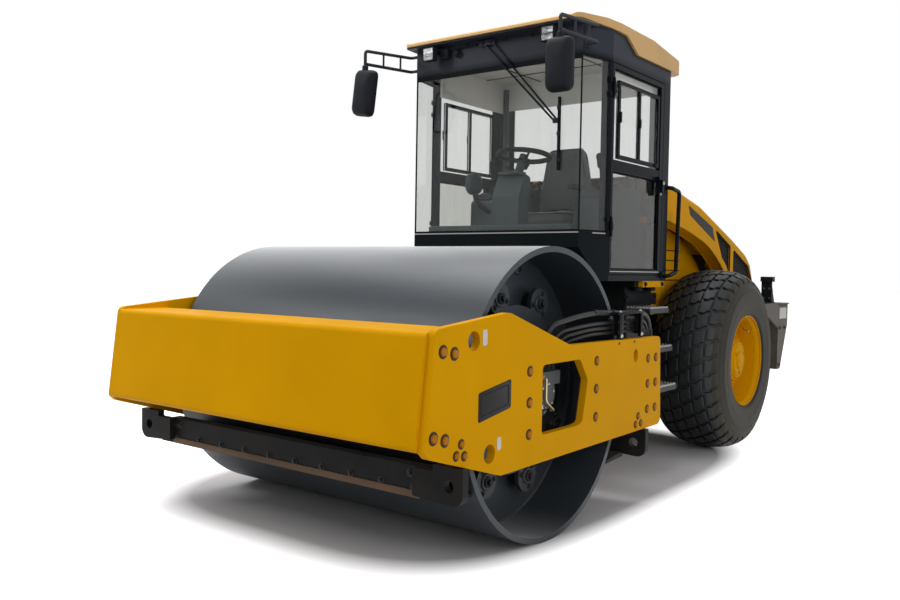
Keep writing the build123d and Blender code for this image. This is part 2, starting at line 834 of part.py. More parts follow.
def door_frame():
    """A door's frame with its hinge leaves, and the frame of its sliding window."""
    y0, y1 = axle_y + door_front, axle_y + door_rear
    door = block(door_inner_x, door_outer_x, y0, y1, door_low_z, door_top_z)
    for z0, z1 in (lower_pane_z, upper_pane_z):
        door -= block(door_inner_x - 1, door_outer_x + 1, *pane_y, z0, z1)
    step = (mid_rail_high - mid_rail_low) / (mid_ribs + 1)
    for i in range(mid_ribs):
        z = mid_rail_low + step * (i + 1)
        door -= block(door_outer_x - groove[1], door_outer_x + 1, *pane_y,
                      z - groove[0] / 2, z + groove[0] / 2)
    face = cab_side_x + leaf_sheet
    leaf = [(cab_side_x, y0), (cab_side_x, y0 + leaf_reach), (face, y0 + leaf_reach), (face, y0)]
    for z in hinge_heights:
        door += knuckle(z - knuckle_half, z + knuckle_half, leaf)
    yield door
    bar = slider_bar
    x0, x1 = door_outer_x - pane_inset - 6, door_outer_x - 4
    frame = block(x0, x1, *slider_y, *slider_z)
    middle = sum(slider_y) / 2
    for a, b in ((slider_y[0] + bar, middle - bar / 2), (middle + bar / 2, slider_y[1] - bar)):
        frame -= block(x0 - 1, x1 + 1, a, b, slider_z[0] + bar, slider_z[1] - bar)
    yield frame


def door_handle():
    """The lever box at the rear edge of the door."""
    y = axle_y - 1034
    box = block(door_outer_x + fit_gap, door_outer_x + 26, y - 24, y + 24, 1945, 2075)
    lever = block(door_outer_x + 25, door_outer_x + 46, y - 14, y + 14, 1965, 2055)
    return fillet((box + lever).edges().filter_by(Axis.X), 6)


def door_glass():
    """The lower and upper pane of a door, and the two panes of its sliding window."""
    x0 = door_outer_x - pane_inset
    x1 = x0 + glass_thickness
    a, b = pane_y[0] + fit_gap, pane_y[1] - fit_gap
    yield block(x0, x1, a, b, lower_pane_z[0] + fit_gap, lower_pane_z[1] - fit_gap)
    upper = block(x0, x1, a, b, upper_pane_z[0] + fit_gap, upper_pane_z[1] - fit_gap)
    yield upper - block(x0 - 1, x1 + 1, slider_y[0] - fit_gap, slider_y[1] + fit_gap,
                        slider_z[0] - fit_gap, slider_z[1] + fit_gap)
    middle = sum(slider_y) / 2
    edge = slider_bar + fit_gap
    half = slider_bar / 2 + fit_gap
    for y0, y1 in ((slider_y[0] + edge, middle - half), (middle + half, slider_y[1] - edge)):
        yield block(x0, x1, y0, y1, slider_z[0] + edge, slider_z[1] - edge)


rear_window_edge = 110
rear_window_low = 1750
seal = 25                   # door pillar beside the corner window
chin = 205                  # the lower front slants back this far
chin_z = 1550


def cab_frame():
    """The welded cab: floor, pillars at the doors, header, sills and roof panel."""
    wall = cab_plan(0) - cab_plan(post)
    shell = floor_slab(wall, cab_floor_z, header_z)
    shell += floor_slab(cab_plan(0), cab_floor_z, cab_floor_z + cab_floor)
    shell += floor_slab(cab_plan(0), header_z - 30, header_z)
    wide = cab_side_x + beyond
    slope = flat([(front_y - 1, cab_floor_z - 1), (front_y + chin, cab_floor_z - 1),
                  (front_y - 1, chin_z)])
    shell -= side_slab(slope, -wide, wide)
    # the windshield and corner windows meet edge to edge, with no pillar between
    shell -= block(-wide, wide, front_y - beyond, bend_y - seal, sill_z, glass_top_z)
    for s in (-1, 1):
        shell -= block(*sorted((s * (door_inner_x - beyond), s * wide)),
                       axle_y + door_front - door_gap, axle_y + door_rear + door_gap,
                       door_low_z - door_gap, door_top_z + door_gap)
    half = cab_side_x - rear_window_edge
    shell -= block(-half, half, rear_y - post - 5, rear_y + 5, rear_window_low, glass_top_z)
    return shell


pane_back = 4               # windows behind the outer faces of the cab


def corner_glass():
    """The slanted pane between the windshield and the door."""
    y0 = front_y + pane_back + glass_thickness + seal_gap
    y1 = bend_y - seal - fit_gap
    outer = [(wall_x(y0) - pane_back, y0), (wall_x(y1) - pane_back, y1)]
    inner = [(x - glass_thickness, y) for x, y in reversed(outer)]
    return floor_slab(flat(outer + inner), sill_z + fit_gap, glass_top_z - fit_gap)


save("cab_frame", cab_frame())
save("door_hinges", *door_hinges())
shield_half = wall_x(front_y + pane_back) - pane_back
save("windshield", block(-shield_half, shield_half, front_y + pane_back,
                         front_y + pane_back + glass_thickness,
                         sill_z + fit_gap, glass_top_z - fit_gap))
back_half = cab_side_x - rear_window_edge - fit_gap
save("rear_window", block(-back_half, back_half, rear_y - 12, rear_y - 12 + glass_thickness,
                          rear_window_low + fit_gap, glass_top_z - fit_gap))
save("corner_windows", *both_sides(corner_glass()))

left_door = [*door_frame(), door_handle()]
left_glass = list(door_glass())
for side, shapes in (("left", (left_door, left_glass)),
                     ("right", [[mirror(s, Plane.YZ) for s in group]
                                for group in (left_door, left_glass)])):
    save(f"door_{side}", *shapes[0])
    save(f"door_glass_{side}", *shapes[1])

# yellow brackets under the cab's rear corners
bracket_y = (-1230, -880)


def cab_bracket():
    x0 = cab_side_x - 35 + fit_gap
    y0, y1 = (axle_y + y for y in bracket_y)
    return block(x0, cab_side_x, y0, y1, cab_floor_z - 44, cab_floor_z - fit_gap)


save("cab_brackets", *both_sides(cab_bracket()))

# ---- roof ---------------------------------------------------------------------------
roof_half_x = cab_side_x + roof_overhang
cap_low_z = 2852
# side profile of the roof cap: y from the wheel axis, z, corner radius
cap_profile = [
    (roof_front, 2952, 0), (roof_front, 2978, 15), (-1840, 3006, 300), (-1190, 3000, 400),
    (-750, 2945, 60), (roof_rear, 2870, 20), (roof_rear, cap_low_z, 0), (-1430, cap_low_z, 60),
    (-1590, 2945, 60), (-1790, 2952, 0),
]


def roof_plan():
    corners = ((cab_front_x + 30, roof_front, 60), (roof_half_x, cab_bend + 65, 0),
               (roof_half_x, roof_rear, 80))
    return rounded([(x, axle_y + y, r) for x, y, r in corners]
                   + [(-x, axle_y + y, r) for x, y, r in reversed(corners)])


def roof_hollow(gap):
    """The room under the cap, in plan."""
    corners = ((cab_front_x + 14 + gap, roof_front + roof_edge - gap),
               (cab_side_x + 1 + gap, cab_bend - 5), (cab_side_x + 3 + gap, cab_bend + 60),
               (cab_side_x + 3 + gap, cab_rear + 6 + gap))
    return flat([(x, axle_y + y) for x, y in corners]
                + [(-x, axle_y + y) for x, y in reversed(corners)])


def roof_skirt():
    return floor_slab(roof_hollow(0), header_z + fit_gap, header_z + roof_skirt_height)


def roof_cap():
    cap = side_slab(rounded(from_axle(cap_profile)), -roof_half_x - beyond, roof_half_x + beyond)
    cap = cap & floor_slab(roof_plan(), cap_low_z - 50, 3100)
    return cap - floor_slab(roof_hollow(fit_gap), cap_low_z - 50,
                            header_z + roof_skirt_height + fit_gap)


save("roof_skirt", roof_skirt())
save("roof_cap", roof_cap())

# ---- inside the cab -----------------------------------------------------------------
inside_z = cab_floor_z + cab_floor + fit_gap
seat_z = 1700
cushion_z = 1820
back_z = 2330


def seat_base():
    """The seat's sprung pedestal on its floor plate."""
    base = block(-190, 190, axle_y - 1430, axle_y - 1060, inside_z, inside_z + 40)
    base += block(-150, 150, axle_y - 1390, axle_y - 1090, inside_z + 39, seat_z - 40)
    return base + block(-200, 200, axle_y - 1450, axle_y - 1040, seat_z - 41, seat_z)


save("seat_base", seat_base())
save("seat_cushions",
     block(-240, 240, axle_y - 1490, axle_y - 1030, seat_z + fit_gap, cushion_z),
     block(-230, 230, axle_y - 1100, axle_y - 1000, cushion_z + fit_gap, back_z))
wheel_centre = Vector(0, axle_y - 1650, 2205)
wheel_lean = 28             # degrees back from upright
wheel_radius = 210
grip_radius = 15
column_way = Vector(0, sin(radians(wheel_lean)), cos(radians(wheel_lean)))
column_outline = [(-1890, inside_z, 0), (-1880, 1900, 30), (-1800, 2060, 40), (-1730, 2040, 30),
                  (-1745, 1800, 30), (-1720, inside_z, 0)]


def steering_column():
    """The cowl in front of the driver and the column that stands out of it."""
    cowl = side_slab(rounded(from_axle(column_outline)), -110, 110)
    return cowl + rod(wheel_centre - column_way * 260, wheel_centre - column_way * fit_gap, 30)


def steering_wheel():
    place = Plane(origin=wheel_centre, z_dir=column_way)
    shape = place * Pos(0, 0, 16) * Torus(wheel_radius, grip_radius)
    shape += extrude(place * Circle(45), 30)
    for turn in (90, 210, 330):
        spoke = Rot(0, 0, turn) * Pos(wheel_radius / 2, 0) * Rectangle(wheel_radius, 30)
        shape += extrude(place * spoke, 12)
    return shape


console_outline = [(-1510, inside_z, 0), (-1510, 1900, 40), (-1380, 1985, 40), (-940, 1985, 20),
                   (-940, inside_z, 0)]
save("steering_column", steering_column())
save("steering_wheel", steering_wheel())
save("side_consoles", *both_sides(side_slab(rounded(from_axle(console_outline)), 330, 560)))

# ---- outside the cab ----------------------------------------------------------------
arm_rows = ((2917, 2873), (2817, 2785))     # height at the cab, height at the mirror
arm_y = -2005               # where the arms are bolted to the slanted corner
arm_x = 756
mirror_x = 766
mirror_y = -2480
mirror_top_z = 2744
mirror_size = (170, 80, 314)
arm_radius = 11
rung_radius = 7
foot_half = 26
foot_sheet = 8


def mirror_arm():
    """A foot on the corner wall and two tubes, joined by rungs like a ladder."""
    y0, y1 = axle_y + arm_y - foot_half, axle_y + arm_y + foot_half
    near = [(wall_x(y) + 2 * fit_gap, y) for y in (y0, y1)]
    far = [(x + foot_sheet, y) for x, y in reversed(near)]
    shape = floor_slab(flat(near + far), arm_rows[1][0] - 24, header_z - 2)
    start_x = wall_x(axle_y + arm_y) + 4
    for i, (z_in, z_out) in enumerate(arm_rows):
        end_y = axle_y + mirror_y + (0 if i == 0 else 4)
        points = [(start_x, axle_y + arm_y, z_in), (arm_x, axle_y + arm_y, z_in),
                  (mirror_x, end_y, z_out)]
        if i == 0:
            points.append((mirror_x, end_y, mirror_top_z + fit_gap))
        shape += bent_bar(points, 24, arm_radius)
    for share in (0.25, 0.62):
        x = arm_x + (mirror_x - arm_x) * share
        y = axle_y + arm_y + (mirror_y - arm_y) * share
        top, low = (a + (b - a) * share for a, b in arm_rows)
        shape += rod((x, y, low), (x, y, top), rung_radius)
    return shape


def mirror_head():
    w, d, h = mirror_size
    x0, y0 = mirror_x - w / 2, axle_y + mirror_y - d / 2 - 15
    head = block(x0, x0 + w, y0, y0 + d, mirror_top_z - h, mirror_top_z)
    return fillet(head.edges(), 25)


def work_light():
    """A square lamp on a bracket under the front of the roof."""
    y = front_y - 2 * fit_gap
    lamp = fillet(block(430, 528, y - 115, y - 65, 2832, 2926).edges().filter_by(Axis.Y), 8)
    return lamp + block(464, 494, y - 66, y, 2895, 2911)


save("mirror_arms", *both_sides(mirror_arm()))
save("mirror_heads", *both_sides(mirror_head()))
save("work_lights", *both_sides(work_light()))

wiper_feet = (-80, -10)     # across the header
wiper_tip = (514, 2347)     # where the arms meet the blade
wiper_z = 2920
blade_z = (2035, 2498)


def wiper():
    """Two parallel arms from the header to a blade that lies on the windshield."""
    face = front_y - fit_gap
    shape = block(wiper_feet[0] - 25, wiper_feet[1] + 25, face - 26, face, wiper_z - 22, wiper_z + 12)
    for i, x in enumerate(wiper_feet):
        shape += rod((x, face - 20, wiper_z), (wiper_tip[0] - 26 * (1 - i), face - 20, wiper_tip[1]),
                     6.5)
    shape += block(wiper_tip[0] - 34, wiper_tip[0] + 10, face - 26, face - 10, wiper_tip[1] - 10,
                   wiper_tip[1] + 10)
    return shape + block(wiper_tip[0] - 4, wiper_tip[0] + 10, face - 16, face + pane_back,
                         *blade_z)


save("wiper", wiper())


def grab_rail():
    x0, x1 = cab_side_x + fit_gap, cab_side_x + 44
    y = axle_y - 895
    return bent_bar([(x0, y, 2010), (x1, y, 2010), (x1, y + 150, 1990), (x1, y + 120, 1400),
                     (x1, y - 20, 1370), (x0, y - 20, 1370)], 30, 15)


save("grab_rails", *both_sides(grab_rail()))

# treads: height, outer end
tread_rows = [(605, 895), (875, 858), (1145, 822)]
step_y = (axle_y - 1290, axle_y - 985)
step_x = 640                # inner end of the treads, on the hanger
hanger_sheet = 16
step_sheet = 8
step_depth = 34


def access_steps():
    """Three folded treads on a hanger plate under each door."""
    x0 = step_x
    for z, x1 in tread_rows:
        tread = flat([(x0, z), (x1, z), (x1, z - step_depth), (x1 - step_sheet, z - step_depth),
                      (x1 - step_sheet, z - step_sheet), (x0, z - step_sheet)])
        yield front_slab(tread, *step_y)
    hanger = rounded([(step_y[0], 1240, 10), (step_y[1], 1240, 10), (step_y[1] - 60, 560, 30),
                      (step_y[0] + 60, 560, 30)])
    yield side_slab(hanger, x0 - hanger_sheet, x0 - fit_gap)


steps = []
for shape in access_steps():
    steps += both_sides(shape)
save("access_steps", *steps)
platform_top = cab_floor_z - 44
save("cab_platform", *both_sides(
    block(rail_outer_x + fit_gap, step_x - hanger_sheet - fit_gap, axle_y - 1290,
          axle_y - 850, 1000, platform_top)),
    block(-cab_side_x + 35, cab_side_x - 35, axle_y - 1290, axle_y - 850,
          platform_top + fit_gap, cab_floor_z - fit_gap))

# ---- hood ---------------------------------------------------------------------------
# upper line of the hood: y from the wheel axis, z, corner radius
hood_line = [
    (hood_front, hood_top_z, 0), (-452, 2092, 500), (206, 1962, 700), (955, 1712, 700),
    (1300, 1582, 260), (1425, 1490, 70), (1484, 1330, 60), (1488, hood_low_z, 0),
]
# edge of the arch over the tyre, from the rear foot to the cab
arch_line = [
    (705, hood_low_z, 0), (640, 1215, 60), (448, 1405, 160), (240, 1535, 300),
    (19, 1634, 400), (-380, 1725, 500), (hood_front, 1790, 0),
]


def hood_section(inset, half_low=hood_half_low, half_top=hood_half_top):
    low, high = hood_low_z - 20, hood_top_z + 20
    return flat([(-half_low + inset, low), (-half_top + inset, high),
                 (half_top - inset, high), (half_low - inset, low)])


def hood_body(inset):
    solid = side_slab(rounded(from_axle(hood_line + arch_line)), -lip_half, lip_half)
    return solid & front_slab(hood_section(inset), axle_y + hood_front - 10, axle_y + tail_reach)


def crest_z(y):
    """Height of the hood's upper line at a place behind the wheel axis."""
    for (y0, z0, _), (y1, z1, _) in zip(hood_line, hood_line[1:]):
        if y <= y1:
            return z0 + (z1 - z0) * (y - y0) / (y1 - y0)
    return hood_low_z


def is_crest_edge(edge):
    """True for the long edges between the hood's top and its sides."""
    place = edge.center()
    if abs(place.X) < hood_half_top - 20 or edge.length < 20:
        return False
    near = crest_z(place.Y - axle_y) - place.Z
    return abs(near) < 40 and place.Z > hood_low_z + 60


def lip():
    """The rolled lip that stands out along the arch."""
    rows = [(y, z + 6) for y, z, _ in reversed(arch_line)]
    outer = [(y + up * 0.55, z + lip_width * up / 58) for (y, z), up in
             zip(rows, (58, 58, 58, 56, 54, 50, 0))]
    outer[-1] = (rows[-1][0] + 60, rows[-1][1])
    band = flat([(y + axle_y, z) for y, z in rows + outer[::-1]])
    shape = side_slab(band, hood_half_top - 30, lip_half)
    return shape


# openings in each side of the hood: rows of (y, z, corner radius) from the wheel axis
grille_outlines = [
    [(535, 1765, 12), (871, 1640, 12), (835, 1395, 20), (700, 1480, 60)],
    [(962, 1606, 12), (1330, 1466, 25), (1425, 1320, 20), (1440, 1165, 12), (905, 1165, 12)],
]
grille_edge = 14            # grille beyond its opening, behind the sheet
grille_sheet = 5
hinge_y = axle_y + hood_front - 14
hinge_x = rail_outer_x - 10
hinge_z = hood_top_z - 12


def hood_shell():
    """The hood as one sheet, open below, with its arch lips, openings and knuckles."""
    body = hood_body(0)
    body = fillet([e for e in body.edges() if is_crest_edge(e)], hood_edge_radius)
    body += both_sides(lip())
    shell = body - Pos(0, -hood_sheet, -hood_sheet) * hood_body(hood_sheet)
    for rows in grille_outlines:
        opening = rounded(from_axle(rows))
        for s in (-1, 1):
            x0, x1 = sorted((s * (hood_half_top - 80), s * (lip_half + 10)))
            shell -= side_slab(opening, x0, x1)
    for x in (-hinge_x, hinge_x):
        shell += rod((x - 20, hinge_y, hinge_z), (x + 20, hinge_y, hinge_z), knuckle_radius)
        shell += block(x - 20, x + 20, hinge_y, hinge_y + 60, hinge_z - 12, hinge_z - 2)
    return shell


def hood_grilles():
    """Flat grilles behind the openings, leaning with the hood's sides."""
    depth = hood_sheet + 3 * fit_gap
    slab = front_slab(hood_section(depth) - hood_section(depth + grille_sheet),
                      axle_y, axle_y + tail_reach)
    for rows in grille_outlines:
        outline = offset(flat([(y + axle_y, z) for y, z, _ in rows]), grille_edge)
        for s in (-1, 1):
            x0, x1 = sorted((s * (hood_half_top - 80), s * lip_half))
            yield slab & side_slab(outline, x0, x1)


save("hood_shell", hood_shell())
save("hood_grilles", *hood_grilles())

panel_low = rail_top_z - 60
panel_outline = [(-780, panel_low), (-780, 1850), (-380, 1790), (19, 1690), (240, 1600),
                 (448, 1470), (640, 1290), (700, panel_low)]
louvre_heights = (1330, 1410, 1490, 1570)
louvre = (14, 8)            # groove height and depth
panel_sheet = 25


def side_panel():
    """The louvred panel behind the arch."""
    x0 = rail_outer_x + fit_gap
    shape = side_slab(flat([(axle_y + y, z) for y, z in panel_outline]), x0, x0 + panel_sheet)
    for z in louvre_heights:
        shape -= block(x0 + panel_sheet - louvre[1], x0 + panel_sheet + 1,
                       axle_y - 740, axle_y + 60, z, z + louvre[0])
    return shape


def hinge_post(x):
    """A post on the rail, forked at the top round the hood's knuckle."""
    shape = block(x - 40, x + 40, hinge_y - 14, hinge_y + 8, rail_top_z + fit_gap, hinge_z - 20)
    for x0 in (x - 40, x + 20 + fit_gap):
        x1 = x0 + 20 - fit_gap
        shape += rod((x0, hinge_y, hinge_z), (x1, hinge_y, hinge_z), knuckle_radius)
        shape += block(x0, x1, hinge_y - knuckle_radius, hinge_y + 6, hinge_z - 21, hinge_z)
    return shape


save("hood_hinge_posts", hinge_post(hinge_x), hinge_post(-hinge_x))
save("side_panels", *both_sides(side_panel()))
print("built")
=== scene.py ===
import json
import math

import bmesh
import bpy
from mathutils import Matrix, Vector, noise


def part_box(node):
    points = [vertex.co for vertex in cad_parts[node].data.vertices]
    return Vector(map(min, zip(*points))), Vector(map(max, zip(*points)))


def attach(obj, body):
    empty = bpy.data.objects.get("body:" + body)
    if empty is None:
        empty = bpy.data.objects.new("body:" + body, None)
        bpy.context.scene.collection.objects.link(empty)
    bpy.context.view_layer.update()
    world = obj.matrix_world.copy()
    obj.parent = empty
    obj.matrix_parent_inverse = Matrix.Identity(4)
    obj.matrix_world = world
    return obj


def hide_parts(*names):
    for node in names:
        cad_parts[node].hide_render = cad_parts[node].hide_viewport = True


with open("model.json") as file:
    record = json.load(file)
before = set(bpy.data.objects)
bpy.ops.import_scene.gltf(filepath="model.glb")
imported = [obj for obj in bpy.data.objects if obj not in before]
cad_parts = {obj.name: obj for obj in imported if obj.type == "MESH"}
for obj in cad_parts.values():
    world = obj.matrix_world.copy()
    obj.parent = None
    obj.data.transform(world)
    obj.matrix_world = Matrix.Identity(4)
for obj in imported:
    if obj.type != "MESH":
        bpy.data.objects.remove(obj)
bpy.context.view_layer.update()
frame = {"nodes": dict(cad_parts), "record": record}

record = frame["record"]
slotOf = {row["node"]: row["material_slot"] for row in record["subparts"]}


class Settings(dict):  # a dictionary whose values are also read as attributes
    __getattr__ = dict.__getitem__


# places that the frame gives
def middle(node):
    low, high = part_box(node)
    return (low + high) / 2


drumLow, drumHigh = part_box("drum_shell")
drumCentre = (drumLow + drumHigh) / 2
drumRadius = (drumHigh.z - drumLow.z) / 2
plateLow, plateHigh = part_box("side_plate_left")
beamLow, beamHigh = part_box("front_beam")
cabLow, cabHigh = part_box("cab_frame")
wheelCentre = middle("tyre_left")


def fromDrum(x, y, z):  # y is measured from the drum's axis
    return Vector((x, drumCentre.y + y, z))


def wheelY(y):  # a place along the machine, measured from the rear wheels' axis
    return wheelCentre.y + y


def fromWheel(x, y, z):
    return Vector((x, wheelY(y), z))


# mesh tools
def across(axis):  # a unit axis and two directions at right angles to it
    axis = Vector(axis).normalized()
    side = axis.orthogonal().normalized()
    return axis, side, axis.cross(side)


def circle(count, start=0.0):  # the cosines and sines of equal steps round a circle
    steps = (start + 2 * math.pi * i / count for i in range(count))
    return [(math.cos(a), math.sin(a)) for a in steps]


def bridge(bm, rings, closed=False):
    # faces between rings of points; a closed row of rings joins its last to its first
    for low, high in zip(rings, rings[1:] + (rings[:1] if closed else [])):
        for i in range(len(low)):
            j = (i + 1) % len(low)
            bm.faces.new((low[i], low[j], high[j], high[i]))
    if not closed:
        bm.faces.new(rings[0][::-1])
        return bm.faces.new(rings[-1])


def turned(bm, centre, axis, rows, sides=24, hollow=False, turn=0.0):
    # rows of (radius, distance along the axis); a hollow body's section is a closed loop
    axis, side, up = across(axis)
    centre = Vector(centre)
    bridge(bm, [[bm.verts.new(centre + axis * along + radius * (side * c + up * s))
        for c, s in circle(sides, turn)] for radius, along in rows], hollow)


def tube(bm, points, radius, sides=12):
    # a round tube along a line of points, its section carried without twist
    points = [Vector(p) for p in points]
    ways = [(b - a).normalized() for a, b in zip(points, points[1:])]
    ways = [ways[0]] + [(a + b).normalized() for a, b in zip(ways, ways[1:])] + [ways[-1]]
    side = ways[0].orthogonal().normalized()
    rings = []
    for point, way in zip(points, ways):
        side = (side - way * side.dot(way)).normalized()
        up = way.cross(side)
        rings.append([bm.verts.new(point + radius * (side * c + up * s)) for c, s in circle(sides)])
    bridge(bm, rings)


def bend(before, here, after, reach, steps):  # a corner rounded off by an even curve
    start = here + (before - here).normalized() * reach
    end = here + (after - here).normalized() * reach
    shares = (i / steps for i in range(steps + 1))
    return [start * (1 - t) ** 2 + here * 2 * t * (1 - t) + end * t * t for t in shares]


def eased(points, reach, steps=5):  # a line with its corners rounded off
    points = [Vector(p) for p in points]
    line = [points[0]]
    for before, here, after in zip(points, points[1:], points[2:]):
        cut = min(reach, (here - before).length / 2, (after - here).length / 2)
        line += bend(before, here, after, cut, steps)
    return line + [points[-1]]


def slab(bm, outline, thickness, put, edge=0.0, segments=2):
    # a flat shape of (u, v) made solid from w = 0 to its thickness; put gives the places
    top = bridge(bm, [[bm.verts.new(put(u, v, w)) for u, v in outline] for w in (0, thickness)])
    if edge:
        bmesh.ops.bevel(bm, geom=list(top.edges), offset=edge, segments=segments, affect="EDGES",
            profile=0.6)


def softBox(bm, start, end, edge=0.002, segments=2):  # a box between two corners, eased all round
    low = Vector(map(min, zip(start, end)))
    high = Vector(map(max, zip(start, end)))
    matrix = Matrix.Translation((low + high) / 2) @ Matrix.Diagonal((*(high - low), 1))
    made = bmesh.ops.create_cube(bm, size=1, matrix=matrix)
    edges = list({e for v in made["verts"] for e in v.link_edges})
    bmesh.ops.bevel(bm, geom=edges, offset=edge, segments=segments, affect="EDGES", profile=0.6)


def addStrip(bm, start, end, across1, across2):
    # a straight bar between two points, with its section given by two vectors
    a, b = Vector(across1) / 2, Vector(across2) / 2
    bridge(bm, [[bm.verts.new(Vector(p) + q) for q in (-a - b, a - b, a + b, -a + b)]
        for p in (start, end)])


def roundedLoop(points, radius, steps=4):  # a flat outline of (u, v) with rounded corners
    points = [Vector(p) for p in points]
    loop = []
    for before, here, after in zip(points[-1:] + points, points, points[1:] + points[:1]):
        cut = min(radius, (before - here).length * 0.45, (after - here).length * 0.45)
        loop += [tuple(p) for p in bend(before, here, after, cut, steps)]
    return loop


def roundedBox(u0, u1, v0, v1, radius, steps=4):
    return roundedLoop([(u0, v0), (u1, v0), (u1, v1), (u0, v1)], radius, steps)


def band(bm, outline, width, thickness, put):
    # a flat frame round an outline, from the outline inwards by its width
    count = len(outline)
    inner = []
    for i in range(count):
        before, here, after = (Vector(outline[k % count]) for k in (i - 1, i, i + 1))
        way = (after - before).normalized()
        inner.append(tuple(here + Vector((-way.y, way.x)) * width))
    loops = ((outline, 0), (outline, thickness), (inner, thickness), (inner, 0))
    bridge(bm, [[bm.verts.new(put(u, v, w)) for u, v in loop] for loop, w in loops], True)


def boltHead(bm, centre, axis, size, washer=True):
    # a hexagon head on a round washer; size is across its corners
    if washer:
        turned(bm, centre, axis, ((size * 0.86, -0.0005), (size * 0.9, 0),
            (size * 0.9, size * 0.12), (size * 0.84, size * 0.16)), 20)
    base = size * 0.15 if washer else 0
    rise = size * 0.5
    turned(bm, centre, axis, ((size * 0.5, base), (size * 0.5, base + rise * 0.85),
        (size * 0.42, base + rise)), 6, turn=size * 37)


def roundHead(bm, centre, axis, radius, height):
    turned(bm, centre, axis, ((radius, -0.0005), (radius, height * 0.35),
        (radius * 0.93, height * 0.7), (radius * 0.72, height * 0.94), (radius * 0.35, height)), 20)


def spotsRound(centre, count, radius, start=0.0):  # places round a circle that faces the sides
    return [centre + Vector((0, radius * c, radius * s)) for c, s in circle(count, start)]


def meshFrom(name, bm):
    bmesh.ops.recalc_face_normals(bm, faces=bm.faces)
    mesh = bpy.data.meshes.new(name)
    bm.to_mesh(mesh)
    bm.free()
    return mesh


def newObject(name, data):
    made = bpy.data.objects.new(name, data)
    bpy.context.scene.collection.objects.link(made)
    return made


def applyModifier(piece, name):
    with bpy.context.temp_override(object=piece, active_object=piece, selected_objects=[piece]):
        bpy.ops.object.modifier_apply(modifier=name)


def makePiece(name, bm, material, body="rear_frame", slot=None, sharp=35):
    # the slot is named by itself or by a node that has it; it is looked up and then not used
    mesh = meshFrom(name, bm)
    for finish in [material] if isinstance(material, str) else material:
        mesh.materials.append(materials[finish])
    mesh.shade_smooth()
    mesh.set_sharp_from_angle(angle=math.radians(sharp))
    piece = newObject(name, mesh)
    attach(piece, body)
    if slot:
        slotOf.get(slot, slot)
    return piece


def onSide(side):  # places drawn for the left side, put on either side
    return lambda p: Vector((p[0] * side, p[1], p[2]))


def besideWheels(side):  # the same, with y measured from the rear wheels' axis
    return lambda x, y, z: Vector((x * side, wheelY(y), z))


bothSides = (("left", 1), ("right", -1))


# shader groups
def newGroup(name, inputs, outputs):
    # an input's kind follows from its value; returns the tree, a giver of inputs and a taker
    group = bpy.data.node_groups.new(name, "ShaderNodeTree")
    for label, value in inputs.items():
        kind = {4: "Color", 3: "Vector", 1: "Float"}[len(value) if isinstance(value, tuple) else 1]
        socket = group.interface.new_socket(name=label, in_out="INPUT",
            socket_type=f"NodeSocket{kind}")
        socket.default_value = value
    for label, kind in outputs.items():
        group.interface.new_socket(name=label, in_out="OUTPUT", socket_type=f"NodeSocket{kind}")
    start, end = group.nodes.new("NodeGroupInput"), group.nodes.new("NodeGroupOutput")

    def give(label, value):
        link(group, value, end.inputs[label])

    return group, lambda label: start.outputs[label], give


def link(tree, start, end):
    tree.links.new(start, end)


def node(tree, kind, **settings):
    made = tree.nodes.new(kind)
    for key, value in settings.items():
        setattr(made, key, value)
    return made


def maths(tree, operation, first, second=None, clamp=False):
    made = node(tree, "ShaderNodeMath", operation=operation, use_clamp=clamp)
    for socket, value in zip(made.inputs, (first, second)):
        feed(tree, socket, value)
    return made.outputs[0]


def times(tree, first, second, clamp=False):
    return maths(tree, "MULTIPLY", first, second, clamp)


def plus(tree, first, second, clamp=False):
    return maths(tree, "ADD", first, second, clamp)


def feed(tree, socket, value):  # a link, or a constant on the socket itself
    if isinstance(value, bpy.types.NodeSocket):
        tree.links.new(value, socket)
    elif value is not None:
        socket.default_value = (*value, 1) if socket.type == "RGBA" else value


def mixed(tree, factor, first, second, blend="MIX"):
    made = node(tree, "ShaderNodeMix", data_type="RGBA", blend_type=blend)
    for index, value in ((0, factor), (6, first), (7, second)):
        feed(tree, made.inputs[index], value)
    return made.outputs[2]


def spread(tree, value, low, high, outLow=0.0, outHigh=1.0):
    made = node(tree, "ShaderNodeMapRange", clamp=True)
    for socket, amount in zip(made.inputs, (value, low, high, outLow, outHigh)):
        feed(tree, socket, amount)
    return made.outputs[0]


def noiseAt(tree, vector, scale, detail=3.0, rough=0.5):
    made = node(tree, "ShaderNodeTexNoise")
    for name, value in dict(Vector=vector, Scale=scale, Detail=detail, Roughness=rough).items():
        feed(tree, made.inputs[name], value)
    return made.outputs["Fac"]


def restPlace(tree):  # the surface's own coordinates, in metres
    return node(tree, "ShaderNodeTexCoord").outputs["Object"]


def heightOf(tree, vector):  # the upright part of a place or of a direction
    parts = node(tree, "ShaderNodeSeparateXYZ")
    link(tree, vector, parts.inputs[0])
    return parts.outputs["Z"]


def facingOf(tree):  # the surface's own direction
    return node(tree, "ShaderNodeNewGeometry").outputs["Normal"]


def makeToneDrift():  # slow changes of lightness over a painted face
    group, given, give = newGroup(
        "toneDrift", dict(Color=(0.5, 0.5, 0.5, 1), Amount=0.1, Scale=2.0),
        dict(Color="Color"))
    drift = noiseAt(group, restPlace(group), given("Scale"), 2.0)
    low = maths(group, "SUBTRACT", 1.0, given("Amount"))
    high = plus(group, 1.0, given("Amount"))
    tone = spread(group, drift, 0.3, 0.7, low, high)
    scaled = node(group, "ShaderNodeVectorMath", operation="SCALE")
    link(group, given("Color"), scaled.inputs[0])
    link(group, tone, scaled.inputs["Scale"])
    give("Color", scaled.outputs[0])
    return group


